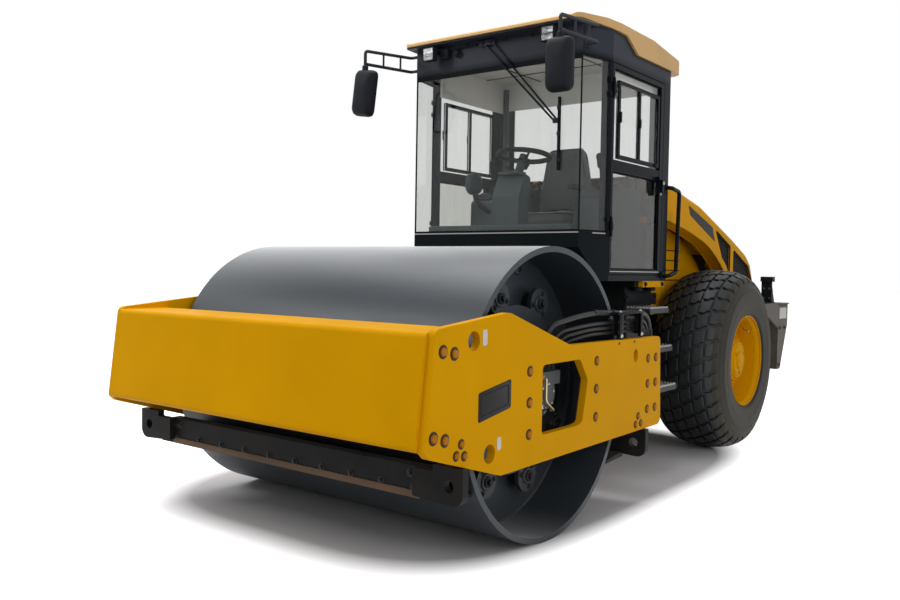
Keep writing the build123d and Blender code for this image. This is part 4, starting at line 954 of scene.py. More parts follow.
def makeDrumParts(s):
    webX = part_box("rubber_mounts")[0].x  # outer face of the left web
    inner = drumRadius - 0.03
    centre = Vector((0, drumCentre.y, drumCentre.z))
    # weld beads inside the shell, where the webs meet it
    bm = bmesh.new()
    for sign in (-1, 1):
        rings = []
        for i, (c, d) in enumerate(circle(180)):
            swell = s.bead * (1 + 0.12 * noise.noise(Vector((i * 0.9, sign * 3.0, 0))))
            section = ((webX - 0.0005, inner - swell), (webX + swell * 0.55, inner - swell * 0.55),
                (webX + swell, inner + 0.0005), (webX - 0.0005, inner + 0.0005))
            rings.append([bm.verts.new(centre + Vector((sign * x, r * c, r * d)))
                for x, r in section])
        bridge(bm, rings, True)
    makePiece("drum_welds", bm, "drumGrey", "drum", "drum_grey")

    face = centre + Vector((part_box("drive_plate")[1].x, 0, 0))
    out = Vector((1, 0, 0))
    bm, caps = bmesh.new(), bmesh.new()
    for i, p in enumerate(spotsRound(face, s.mounts, s.mountCircle, s.mountStart)):
        turned(caps, p, out, s.cap, 28)
        boltHead(bm, p + out * 0.012, out, 0.034)
        for q in spotsRound(p, *s.mountBolts, s.mountStart + 2 * math.pi * i / s.mounts):
            boltHead(bm, q, out, 0.018)
    for p in spotsRound(face, *s.hubBolts):
        boltHead(bm, p, out, 0.024)
    makePiece("mount_caps", caps, "drumGrey", "drum", "drum_grey")
    makePiece("drive_plate_bolts", bm, "boltDark", "drum")

    # drain plugs and lifting eyes in the open end of the other web
    bm = bmesh.new()
    for sign in (-1, 1):
        for p in spotsRound(centre + out * sign * webX, *s.plugs):
            turned(bm, p, out * sign, s.plug)
    makePiece("web_plugs", bm, "drumGrey", "drum", "drum_grey")


for side, sign in bothSides:
    makePlateBolts(side, sign, plateBoltSettings)
    makeBlankPlates(side, sign, blankPlateSettings)
makeBeamTrim(beamSettings)
makeScraperParts(scraperSettings)
makeDrumParts(drumDetailSettings)
print("front frame ready")


# cab: seals, trim, hinges and door fittings
cabFront, cabRear = cabLow.y, cabHigh.y
shieldLow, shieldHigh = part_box("windshield")
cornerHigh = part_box("corner_windows")[1]
cabSide = cabHigh.x


glassSealSettings = Settings(width=0.014, proud=0.0035, seam=0.009, sillLine=0.007, bandHigh=0.03)


def makeGlassSeals(s):
    z0, z1 = shieldLow.z, shieldHigh.z
    x1, y1 = shieldHigh.x, shieldLow.y
    xc, yc = cornerHigh.x, cornerHigh.y
    bm, line = bmesh.new(), bmesh.new()
    # the strip along the glass's lower and upper edge, over the windshield and both corners
    for side in (-1, 1):
        way = (Vector((xc * side, yc, 0)) - Vector((x1 * side, y1, 0))).normalized()
        out = Vector((abs(way.y) * side, -abs(way.x), 0))
        a, b = Vector((x1 * side, y1, 0)), Vector((xc * side, yc, 0))
        for z in (z0 + s.width / 2, z1 - s.width / 2):
            lift = Vector((0, 0, z))
            addStrip(bm, a + lift + out * 0.001, b + lift + out * 0.001, out * s.proud,
                (0, 0, s.width))
        addStrip(bm, b + Vector((0, 0, z0)) - way * 0.006 + out * 0.001,
            b + Vector((0, 0, z1)) - way * 0.006 + out * 0.001, out * s.proud, way * 0.012)
        # the silicone joint where the two panes meet
        addStrip(bm, (x1 * side, y1 + 0.001, z0), (x1 * side, y1 + 0.001, z1), (s.seam, 0, 0),
            (0, 0.006, 0))
        addStrip(line, (x1 * side, cabFront - 0.0005, z0 - 0.004),
            (xc * side + 0.004 * side, yc, z0 - 0.004), out * 0.003, (0, 0, s.sillLine))
    for z in (z0 + s.width / 2, z1 - s.bandHigh / 2):
        high = s.width if z < 2.2 else s.bandHigh
        addStrip(bm, (-x1, y1 - 0.0008, z), (x1, y1 - 0.0008, z), (0, s.proud, 0), (0, 0, high))
    addStrip(line, (-x1, cabFront - 0.0005, z0 - 0.004), (x1, cabFront - 0.0005, z0 - 0.004),
        (0, 0.003, 0), (0, 0, s.sillLine))
    # rear window
    low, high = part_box("rear_window")
    corners = ((low.x, low.z), (high.x, low.z), (high.x, high.z), (low.x, high.z))
    for (x0, z0), (x1, z1) in zip(corners, corners[1:] + corners[:1]):
        addStrip(bm, (x0, high.y + 0.006, z0), (x1, high.y + 0.006, z1),
            (0.022, 0, 0) if x0 == x1 else (0, 0, 0.022), (0, 0.01, 0))
    makePiece("glass_seals", bm, "sealRubber")
    makePiece("sill_line", line, "wornSteel")


doorSettings = Settings(
    front=1.24, rear=2.035, low=1.38, top=2.745, midLow=2.05, midHigh=2.12, frontStile=0.028,
    rearStile=0.048, rail=0.032, sealWidth=0.009, gap=0.003, sliderY=(1.34, 1.975),
    sliderZ=(2.14, 2.65),
    # latch and finger pulls: two corners, out from the glass, along the slider and up
    pulls=(((-0.004, -0.3135, 0.235), (0.01, -0.2955, 0.305), 0.003),
           ((-0.004, 0.2425, 0.004), (0.006, 0.2775, 0.022), 0.002),
           ((-0.004, -0.01, 0.24), (0.004, 0.01, 0.3), 0.002)),
    button=((0.013, -0.001), (0.013, 0.004), (0.01, 0.006)),
    lock=((0.01, -0.001), (0.01, 0.003), (0.008, 0.005), (0.003, 0.005)), lockY=1.956,
    # the inner grab loop: in from the door's inner face, ahead of its rear edge, height
    loop=((0.004, -0.02, 1.76), (-0.05, -0.024, 1.75), (-0.05, -0.14, 1.7),
          (-0.05, -0.15, 1.52), (0.004, -0.022, 1.48)),
    hinges=(1.69, 2.585), pin=((0.0085, -0.001), (0.0085, 0.003), (0.006, 0.005)),
)


def makeDoorParts(side, sign, s):
    put = onSide(sign)
    base = drumCentre.y
    door = f"door_{side}"
    y0, y1 = base + s.front, base + s.rear

    # rubber round the two fixed panes
    bm = bmesh.new()
    for z0, z1 in ((s.low + s.rail, s.midLow), (s.midHigh, s.top - s.rail)):
        a, b = y0 + s.frontStile, y1 - s.rearStile
        loop = roundedBox(a, b, z0, z1, 0.012, 3)
        for x, way in ((cabSide - 0.018, 1), (cabSide - 0.0235, -1)):
            band(bm, loop, s.sealWidth, 0.006, lambda u, v, w: put((x + w * way, u, v)))
    makePiece(f"door_pane_seals_{side}", bm, "sealRubber", door)

    # the cab's own seal in the gap round the door
    bm = bmesh.new()
    g = s.gap
    loop = roundedBox(y0 - g, y1 + g, s.low - g, s.top + g, 0.01, 3)
    tube(bm, [put((cabSide - 0.014, u, v)) for u, v in loop + loop[:1]], 0.0023, 6)
    makePiece(f"door_seal_{side}", bm, "sealRubber")

    # sliding window: rails, latch and finger pulls
    bm = bmesh.new()
    (sy0, sy1), (sz0, sz1) = s.sliderY, s.sliderZ
    for z in (sz0 + 0.004, sz1 - 0.004):
        for x in (cabSide - 0.0045, cabSide - 0.0095):
            addStrip(bm, put((x, base + sy0 + 0.01, z)), put((x, base + sy1 - 0.01, z)),
                (0.0025, 0, 0), (0, 0, 0.005))
    corner = Vector((cabSide, base + (sy0 + sy1) / 2, sz0))
    for start, end, edge in s.pulls:
        softBox(bm, put(corner + Vector(start)), put(corner + Vector(end)), edge)
    makePiece(f"slider_fittings_{side}", bm, "trimBlack", door)

    # handle: push button, lever pad and lock
    bm = bmesh.new()
    out = Vector((sign, 0, 0))
    turned(bm, put((cabSide + 0.0458, base + s.lockY, 2.03)), out, s.button, 20)
    turned(bm, put((cabSide + 0.0258, base + s.lockY, 1.952)), out, s.lock, 18)
    makePiece(f"door_lock_{side}", bm, "wornSteel", door)

    # inner grab loop low on the door
    bm = bmesh.new()
    points = [(cabSide - 0.04 + x, y1 + y, z) for x, y, z in s.loop]
    tube(bm, [put(p) for p in eased(points, 0.045, 6)], 0.01, 12)
    makePiece(f"door_inner_loop_{side}", bm, "trimBlack", door)

    # hinge pins with their heads, and the screws of the leaves
    heads, screws = bmesh.new(), bmesh.new()
    for z in s.hinges:
        for way in (1, -1):
            turned(heads, put((cabSide + 0.01, y0, z + 0.0603 * way)), (0, 0, way), s.pin, 18)
        for bm, dy, dz in ((heads, -0.026, 0.045), (screws, 0.026, 0.018)):
            for way in (-1, 1):
                roundHead(bm, put((cabSide + 0.006, y0 + dy, z + dz * way)), out, 0.006, 0.003)
    makePiece(f"hinge_heads_{side}", heads, "cabBlack", slot="cab_black")
    makePiece(f"hinge_screws_{side}", screws, "cabBlack", door, "cab_black")

    # a light sill strip under the lower pane
    bm = bmesh.new()
    addStrip(bm, put((cabSide + 0.001, y0 + 0.012, s.low + 0.018)),
        put((cabSide + 0.001, y1 - 0.03, s.low + 0.018)), (0.002, 0, 0), (0, 0, 0.006))
    makePiece(f"door_sill_line_{side}", bm, "wornSteel", door)


bracketLow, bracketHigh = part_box("cab_brackets")
underCabSettings = Settings(boltShares=(0.1, 0.9), bolt=0.022, skirtAhead=0.24, mountIn=0.06,
    mountX=0.66)


def makeUnderCab(side, sign, s):
    put = onSide(sign)
    bm = bmesh.new()
    middleZ = (bracketLow.z + bracketHigh.z) / 2
    for share in s.boltShares:
        y = bracketLow.y + (bracketHigh.y - bracketLow.y) * share
        boltHead(bm, put((bracketHigh.x, y, middleZ)), (sign, 0, 0), s.bolt)
    makePiece(f"bracket_bolts_{side}", bm, "boltDark")
    # the seam of the cab's folded skirt above the bracket
    bm = bmesh.new()
    addStrip(bm, put((cabSide + 0.001, bracketLow.y - s.skirtAhead, cabLow.z + 0.004)),
        put((cabSide + 0.001, cabRear - 0.01, cabLow.z + 0.004)), (0.002, 0, 0), (0, 0, 0.005))
    makePiece(f"skirt_seam_{side}", bm, "cabBlack", slot="cab_black")
    # rubber mounts between the platform and the cab's floor
    bm = bmesh.new()
    for y in (bracketLow.y + s.mountIn, bracketHigh.y - s.mountIn):
        turned(bm, put((s.mountX, y, bracketLow.z - 0.03)), (0, 0, 1),
            ((0.03, 0), (0.036, 0.008), (0.036, 0.022), (0.03, 0.0295)))
    makePiece(f"cab_mounts_{side}", bm, "mountRubber")


makeGlassSeals(glassSealSettings)
for side, sign in bothSides:
    makeDoorParts(side, sign, doorSettings)
    makeUnderCab(side, sign, underCabSettings)
print("cab ready")


# inside the cab: seat, consoles, pedals, lining
cushionLow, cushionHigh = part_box("seat_cushions")
seatSettings = Settings(
    backLow=1.835, backTop=2.33, cuts=9, sink=0.012, sewnWidth=0.07, sewnTo=0.7, drawnFrom=0.72,
    # the raised sides: height, place and width, the last two as shares of the pad's half
    bolster=(0.016, 0.8, 0.12), narrow=0.4, narrowFrom=2.0, piping=0.0035,
    seatSize=(0.47, 0.112), backSize=(0.45, 0.086), seatGrooves=(-0.45, 0.0, 0.45),
    backGrooves=(-0.5, -0.05, 0.4), crowns=(0.01, 0.006),
    armrest=((0.218, -1.42, 1.98), (0.266, -1.1, 2.022)), hingePlace=(0.218, -1.085, 2.0),
    hinge=((0.03, 0), (0.032, 0.008), (0.032, 0.03), (0.028, 0.036)),
    beltWidth=0.046, beltThick=0.0012,
    belt=((0.236, -1.06, 1.73), (0.238, -1.075, 1.8), (0.224, -1.095, 1.836),
          (0.14, -1.13, 1.845), (0.03, -1.14, 1.847)),
    # the buckle's two halves and the retractor
    buckle=(((0.02, -1.166, 1.842), (0.066, -1.114, 1.86), 0.004),
            ((-0.062, -1.16, 1.843), (-0.022, -1.12, 1.856), 0.003),
            ((0.212, -1.08, 1.702), (0.25, -1.036, 1.762), 0.006)),
)


def boxes(bm, put, rows):  # blocks: two corners, the easing of the edges and its steps
    for start, end, *ease in rows:
        softBox(bm, put(*start), put(*end), *ease)


def narrowing(z, s):  # the seat's back is narrower towards its top
    share = (z - s.narrowFrom) / (s.backTop - s.narrowFrom)
    return 1 - s.narrow * min(max(share, 0), 1)


def quiltedPad(name, size, grooves, crown, put, s):
    # a padded cushion: a rounded block whose face swells between sewn grooves
    bm = bmesh.new()
    bmesh.ops.create_cube(bm, size=1)
    bmesh.ops.subdivide_edges(bm, edges=bm.edges[:], cuts=s.cuts, use_grid_fill=True)
    wide, long, high = size
    for v in bm.verts:
        x, y, z = v.co * 2
        # pull the block's edges in, so that every side is rounded
        beyond = max(0.0, max(abs(x), abs(y)) - s.drawnFrom)
        drawn = 1 - 0.1 * beyond * abs(z) / (1 - s.drawnFrom)
        v.co = Vector((x * wide / 2 * drawn, y * long / 2 * drawn, z * high / 2))
        if z > 0.99:
            swell = crown * (1 - abs(x) ** 4) * (1 - abs(y) ** 4)
            sewn = min(abs(y - g) for g in grooves)
            rise, place, spreadOut = s.bolster
            bolster = rise * math.exp(-((abs(x) - place) / spreadOut) ** 2)
            groove = s.sink * math.exp(-(sewn / s.sewnWidth) ** 2) * (abs(x) < s.sewnTo)
            v.co.z += swell + bolster - groove
    for v in bm.verts:
        v.co = put(v.co)
    mesh = meshFrom(name, bm)
    mesh.materials.append(materials["seatCloth"])
    piece = newObject(name, mesh)
    smooth = piece.modifiers.new("soften", "SUBSURF")
    smooth.levels = smooth.render_levels = 2
    applyModifier(piece, "soften")
    piece.data.shade_smooth()
    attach(piece, "rear_frame")
    return piece


def makeSeat(s):
    y0, y1 = cushionLow.y, wheelY(-1.03)
    seatMid, backMid = (y0 + y1) / 2, (s.backLow + s.backTop) / 2

    def putSeat(p):  # the cushion lies flat, front edge lowered a little
        drop = 0.01 * max(0.0, -p.y / 0.23) ** 2
        return Vector((p.x, seatMid + p.y, cushionLow.z + 0.062 + p.z - drop))

    def putBack(p):  # stands upright: the pad's length goes up and its face looks forward
        z = backMid + p.y
        return Vector((p.x * narrowing(z, s), cushionHigh.y - 0.048 - p.z, z))

    (wide, high), (backWide, backDeep) = s.seatSize, s.backSize
    cushion = quiltedPad("seat_cushion", (wide, y1 - y0 - 0.004, high), s.seatGrooves,
        s.crowns[0], putSeat, s)
    back = quiltedPad("seat_back", (backWide, s.backTop - s.backLow - 0.01, backDeep),
        s.backGrooves, s.crowns[1], putBack, s)
    for piece in (cushion, back):
        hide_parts("seat_cushions")


def makeSeatParts(s):
    backY = cushionHigh.y
    bm = bmesh.new()
    loop = roundedBox(-0.214, 0.214, 1.856, 2.308, 0.045, 6)
    tube(bm, [Vector((u * narrowing(v, s), backY - 0.0855, v)) for u, v in loop + loop[:1]],
        s.piping, 8)
    loop = roundedBox(-0.222, 0.222, wheelY(-1.476), wheelY(-1.046), 0.045, 6)
    tube(bm, [Vector((u, v, cushionLow.z + 0.106)) for u, v in loop + loop[:1]], s.piping, 8)
    makePiece("seat_piping", bm, "trimBlack")
    bm = bmesh.new()
    shell = roundedBox(-0.218, 0.218, 1.83, 2.322, 0.07, 6)
    shell = [(u * narrowing(v, s), v) for u, v in shell]
    slab(bm, shell, 0.01, lambda u, v, w: Vector((u, backY - 0.01 + w, v)), 0.004)
    for _, sign in bothSides:  # hinged armrests
        at = besideWheels(sign)
        softBox(bm, *(at(*p) for p in s.armrest), 0.014, 4)
        turned(bm, at(*s.hingePlace), (sign, 0, 0), s.hinge)
    makePiece("seat_shell", bm, "trimGrey")
    bm = bmesh.new()
    half = s.beltWidth / 2
    for _, sign in bothSides:
        at = besideWheels(sign)
        line = eased([at(*p) for p in s.belt], 0.03, 5)
        rings = []
        for i, p in enumerate(line):  # over the seat's side first, then flat across its top
            away = Vector((sign, 0, 0.2)) if i < len(line) * 0.45 else Vector((0, 0, 1))
            away = away.normalized() * s.beltThick
            rings.append([bm.verts.new(p + Vector((0, y, 0)) + k)
                for y, k in ((-half, -away), (half, -away), (half, away), (-half, away))])
        bridge(bm, rings)
    makePiece("seat_belt", bm, "trimBlack")
    bm = bmesh.new()
    boxes(bm, fromWheel, s.buckle)
    makePiece("belt_buckle", bm, "trimBlack")


wheelRimSettings = Settings(
    centre=(0.0, -1.65, 2.205), lean=math.radians(7), radius=0.18, grip=0.018, dish=0.045,
    spokes=(0.5, 2.64, 4.71),
    pad=((0.052, 0), (0.052, 0.01), (0.046, 0.02), (0.03, 0.026), (0.012, 0.028)),
    boss=((0.03, 0.0), (0.034, 0.012), (0.046, 0.03), (0.048, 0.052), (0.046, 0.056)),
    # the low instrument panel on the cowl
    panel=((-0.085, -1.855, 2.054), (0.085, -1.745, 2.076), 0.009, 3), panelTop=2.0755,
    screen=(0.05, -1.835, -1.765), switchX=(-0.068, 0.068), switchY=(-1.83, -1.8, -1.77),
    switch=((0.006, 0), (0.006, 0.005), (0.004, 0.007)),
    stalk=((0, 0, 0), (-0.1, 0.01, 0.02), (-0.15, 0.02, 0.035)),
    stalkEnd=((0.008, -0.03), (0.01, -0.01), (0.009, 0.012), (0.005, 0.016)),
)


def makeSteeringParts(s):
    centre = fromWheel(*s.centre)
    axis = Vector((0, math.sin(s.lean), math.cos(s.lean)))
    bm = bmesh.new()
    turned(bm, centre - axis * s.dish, axis, s.pad, 36)
    makePiece("horn_pad", bm, "trimBlack")
    # the rim with finger grips and three spokes dished to the boss
    side, up = across(axis)[1:]
    bm = bmesh.new()
    rings = []
    for i, (c, d) in enumerate(circle(96)):
        outward = side * c + up * d
        grip = s.grip * (1 + 0.05 * (-1) ** i)
        rings.append([bm.verts.new(centre + outward * s.radius + grip * (outward * e + axis * f))
            for e, f in circle(12)])
    bridge(bm, rings, True)
    for a in s.spokes:
        way = side * math.cos(a) + up * math.sin(a)
        spoke = [centre + way * reach - axis * drop
            for reach, drop in ((0.03, s.dish - 0.006), (0.09, s.dish * 0.85), (s.radius, 0))]
        tube(bm, eased(spoke, 0.03), 0.0085, 10)
    turned(bm, centre - axis * (s.dish + 0.05), axis, s.boss, 36)
    piece = makePiece("steering_rim", bm, "trimBlack", slot="steering_wheel")
    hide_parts("steering_wheel")
    bm = bmesh.new()
    boxes(bm, fromWheel, [s.panel])
    makePiece("instrument_hood", bm, "trimGrey")
    bm = bmesh.new()
    half, y0, y1 = s.screen
    slab(bm, roundedBox(-half, half, y0, y1, 0.006),
        0.002, lambda u, v, w: fromWheel(u, v, s.panelTop + w), 0.0006)
    makePiece("instrument_screen", bm, "screenDark")
    bm = bmesh.new()
    for x in s.switchX:
        for y in s.switchY:
            turned(bm, fromWheel(x, y, s.panelTop), (0, 0, 1), s.switch, 14)
    makePiece("instrument_switches", bm, "trimBlack")
    bm = bmesh.new()
    stalk = [centre - axis * 0.11 + Vector(p) for p in s.stalk]
    tube(bm, stalk, 0.006)
    turned(bm, stalk[-1], (-0.9, 0.1, 0.25), s.stalkEnd, 16)
    makePiece("column_stalk", bm, "trimBlack")


consoleLow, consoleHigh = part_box("side_consoles")
consoleSettings = Settings(
    # places are measured from the middle of the console's front edge, along its top
    middleX=0.445, pads=(((-0.095, 0.24, -0.004), (0.095, 0.52, 0.012), 0.01, 3),
                         ((-0.06, 0.3, 0.01), (0.06, 0.5, 0.036), 0.016, 4)),
    switches=6, pitch=0.03, root=(0.01, 0.15, -0.03), folds=7,
    lever=((0, 0, 0.07), (0, -0.004, 0.13), (0, -0.012, 0.17)),
    grip=((0.014, 0), (0.019, 0.01), (0.021, 0.03), (0.022, 0.055), (0.026, 0.075),
          (0.026, 0.09), (0.018, 0.102), (0.008, 0.106)),
    # the round housing and its arm at the right of the steering wheel
    pod=(-0.395, -1.7, 2.02), arm=((0, 0, 0), (0, 0.03, -0.14), (0, 0.22, -0.2)),
    podCase=((0.05, 0), (0.075, 0.01), (0.082, 0.03), (0.078, 0.062), (0.058, 0.072)),
    podFoot=((-0.01, 0.02, -0.115), (0.14, 0.11, -0.075)),
)


def makeConsoleParts(side, sign, s):
    put = onSide(sign)

    def onTop(x, y, z):
        return put((s.middleX + x, consoleLow.y + y, consoleHigh.z + z))

    bm = bmesh.new()
    boxes(bm, onTop, s.pads)
    makePiece(f"console_pad_{side}", bm, "trimGrey")
    bm = bmesh.new()
    for i in range(s.switches):
        x = s.pitch * (i - (s.switches - 1) / 2)
        softBox(bm, onTop(x - 0.01, 0.252, 0.01), onTop(x + 0.01, 0.286, 0.018), 0.003)
    makePiece(f"console_switches_{side}", bm, "trimBlack")
    bm = bmesh.new()
    root = onTop(*s.root)
    boot = []
    for i in range(s.folds):  # the lever's folded boot
        radius = 0.052 - 0.005 * i
        boot += [(radius, 0.012 * i), (radius * 0.84, 0.012 * i + 0.006)]
    turned(bm, root, (0, 0, 1), boot, 28)
    tube(bm, [root + Vector(p) for p in s.lever], 0.008)
    turned(bm, root + Vector((0, -0.014, 0.165)), (0, -0.12, 1), s.grip)
    makePiece(f"console_lever_{side}", bm, "trimBlack")
    if side == "right":
        bm = bmesh.new()
        hub = fromWheel(*s.pod)
        turned(bm, hub + Vector((0.035, 0, 0)), (-1, 0, 0), s.podCase, 36)
        tube(bm, eased([hub + Vector(p) for p in s.arm], 0.06, 6), 0.02)
        softBox(bm, *(hub + Vector(p) for p in s.podFoot), 0.012, 3)
        makePiece("right_hand_pod", bm, "trimGrey")


floorTop = cabLow.z + 0.04
matSettings = Settings(half=0.318, y=(-1.915, -1.51), border=0.02, ribs=14, ribHalf=0.005,
                   column=(-1.805, 0.11, 0.125))  # ribs stop beside the steering column


def makeFloorMat(s):
    bm = bmesh.new()
    edge = s.half - s.border
    (y0, y1), (columnY, near, gap) = s.y, s.column

    def onFloor(x, y, z):
        return fromWheel(x, y, floorTop + z)

    softBox(bm, onFloor(-s.half, y0, 0.0003), onFloor(s.half, y1, 0.008), 0.003)
    for i in range(s.ribs):
        y = y0 + s.border + i * (y1 - y0 - 2 * s.border) / (s.ribs - 1)
        spans = ((-edge, -gap), (gap, edge)) if abs(y - columnY) < near else ((-edge, edge),)
        boxes(bm, onFloor, [((a, y - s.ribHalf, 0.007), (b, y + s.ribHalf, 0.011), 0.0015, 1)
            for a, b in spans])
    makePiece("floor_mat", bm, "trimBlack")


pedalSettings = Settings(x=(-0.2, 0.2), root=(-1.9, 0.02),
    arm=((0, 0, 0), (0, 0.01, 0.09), (0, 0.07, 0.125)), out=(0, 0.75, 0.66), up=(0, -0.66, 0.75),
    pad=(0.034, 0.045), ribs=5, ribHalf=0.028, pitch=0.017)


def makePedals(s):
    bm = bmesh.new()
    out, up = Vector(s.out), Vector(s.up)
    for x in s.x:
        arm = [fromWheel(x, s.root[0], floorTop + s.root[1]) + Vector(p) for p in s.arm]
        tube(bm, arm, 0.007)

        def onPad(u, v, w):
            return arm[-1] + Vector((u, 0, 0)) + up * v + out * w

        u, v = s.pad
        slab(bm, roundedBox(-u, u, -v, v, 0.01), 0.01, onPad, 0.002)
        for i in range(s.ribs):
            v = s.pitch * (i - (s.ribs - 1) / 2)
            u, w = s.ribHalf, 0.003
            slab(bm, [(-u, v - w), (u, v - w), (u, v + w), (-u, v + w)], 0.013, onPad)
    makePiece("pedals", bm, "trimBlack")


liningTop = cabHigh.z - 0.032
liningSettings = Settings(
    half=0.662, rear=0.068, skirtHalf=0.665, skirtLow=2.665, rearSkirt=(0.655, 2.685),
    # the ledge inside the windshield's foot, from the cab's front and the glass's lower edge
    ledge=((-0.56, 0.022, 0.004), (0.6, 0.085, 0.052)),
    blind=(0.05, 2.785, 0.6, 0.615), seamsY=(-1.62, -1.2), seamsX=(-0.32, 0.32), lampY=-1.4,
    lamp=((0.055, 0), (0.055, 0.012), (0.048, 0.02), (0.02, 0.024)), postX=0.64, postZ=(1.4, 2.86),
)


def makeLining(s):
    bm = bmesh.new()
    rear = cabRear - s.rear
    softBox(bm, (-s.half, cabFront + 0.072, liningTop - 0.014), (s.half, rear, liningTop), 0.006)
    for x in (-s.skirtHalf, s.skirtHalf):  # its skirt above the side and rear windows
        softBox(bm, (x - 0.006, cabFront + 0.27, s.skirtLow), (x + 0.006, rear, liningTop - 0.01),
            0.005)
    half, low = s.rearSkirt
    softBox(bm, (-half, cabRear - 0.082, low), (half, cabRear - 0.07, liningTop - 0.01), 0.005)
    makePiece("roof_lining", bm, "trimPale")
    bm = bmesh.new()
    foot = Vector((0, cabFront, shieldLow.z))
    softBox(bm, *(foot + Vector(p) for p in s.ledge), 0.012, 3)
    makePiece("front_ledge", bm, "trimGrey")
    bm = bmesh.new()  # the lining's seams and a sun blind's roller
    z0, z1 = liningTop - 0.02, liningTop - 0.012
    for y in map(wheelY, s.seamsY):
        softBox(bm, (-half, y - 0.006, z0), (half, y + 0.006, z1), 0.003, 1)
    for x in s.seamsX:
        softBox(bm, (x - 0.006, cabFront + 0.08, z0), (x + 0.006, cabRear - 0.075, z1), 0.003, 1)
    ahead, z, half, end = s.blind
    y = cabFront + ahead
    tube(bm, [(-half, y, z), (half, y, z)], 0.021, 16)
    for x in (-end, end):
        softBox(bm, (x - 0.018, y - 0.028, z - 0.027), (x + 0.018, y + 0.028, z + 0.027), 0.005)
    makePiece("lining_trim", bm, "trimGrey")
    bm = bmesh.new()
    turned(bm, fromWheel(0, s.lampY, liningTop - 0.013), (0, 0, -1), s.lamp, 32)
    makePiece("dome_lamp", bm, "lampLens")
    bm = bmesh.new()  # trim on the posts beside the rear window
    for x in (-s.postX, s.postX):
        z0, z1 = s.postZ
        softBox(bm, (x - 0.02, cabRear - 0.108, z0), (x + 0.02, cabRear - 0.062, z1), 0.01)
    makePiece("post_trim", bm, "trimGrey")


makeSeat(seatSettings)
makeSeatParts(seatSettings)
makeSteeringParts(wheelRimSettings)
for side, sign in bothSides:
    makeConsoleParts(side, sign, consoleSettings)
makeFloorMat(matSettings)
makePedals(pedalSettings)
makeLining(liningSettings)
print("cab inside ready")


# what is fixed to the outside of the cab
def lofted(bm, outline, rows, put):
    # an outline of (u, v) about its middle, carried through rows of (share of its size, depth)
    bridge(bm, [[bm.verts.new(put(u * share, v * share, depth)) for u, v in outline]
        for share, depth in rows])


mirrorSettings = Settings(
    wide=0.17, high=0.314, corner=0.045, tilt=math.radians(8),
    # the shell from its rim to the crown of its back: (share of the outline, depth)
    shell=((0.9, 0.007), (0.91, 0.0), (0.985, 0.0), (1.0, 0.007), (1.0, 0.024), (0.965, 0.046),
           (0.87, 0.062), (0.68, 0.073), (0.3, 0.079)),
    glass=0.895, glassSheet=0.0035, collar=((0.013, -0.004), (0.021, 0.0), (0.021, 0.03),
                                            (0.016, 0.036)),
)


def makeMirrors(s):
    low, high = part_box("mirror_heads")
    halfWide, halfHigh = s.wide / 2, s.high / 2
    outline = roundedBox(-halfWide, halfWide, -halfHigh, halfHigh, s.corner, 6)
    shells, faces = bmesh.new(), bmesh.new()
    for side, sign in bothSides:
        lean = s.tilt if side == "right" else 0.0
        centre = Vector((sign * (high.x - s.wide / 2), high.y, (low.z + high.z) / 2))

        def put(u, v, depth):
            return centre + Vector((u * math.cos(lean) + v * math.sin(lean), -depth,
                v * math.cos(lean) - u * math.sin(lean)))

        lofted(shells, outline, s.shell, put)
        turned(shells, (centre.x, wheelY(-2.48), high.z - 0.006), (0, 0, 1), s.collar, 20)
        glass = [(u * s.glass, v * s.glass) for u, v in outline]
        slab(faces, glass, s.glassSheet, lambda u, v, w: put(u, v, 0.0075 - w), 0.0008)
    piece = makePiece("mirror_shells", shells, "lampHousing", slot="mirror_heads")
    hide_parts("mirror_heads")
    makePiece("mirror_glass", faces, "mirrorFace")


workLightSettings = Settings(
    half=(0.049, 0.047), corner=0.01, cells=(-0.022, 0.022), cellHalf=(0.038, 0.018),
    shell=((0.86, 0.022), (0.88, 0.0), (0.97, 0.0), (1.0, 0.004), (1.0, 0.036), (0.94, 0.05)),
    bowl=((1.0, 0.0225), (1.0, 0.004), (0.95, 0.004), (0.35, 0.019)), ribs=9, fins=6,
    lensHalf=(0.041, 0.0395), spread=0.072, finHalf=(0.002, 0.036), ribHalf=(0.0012, 0.038),
)


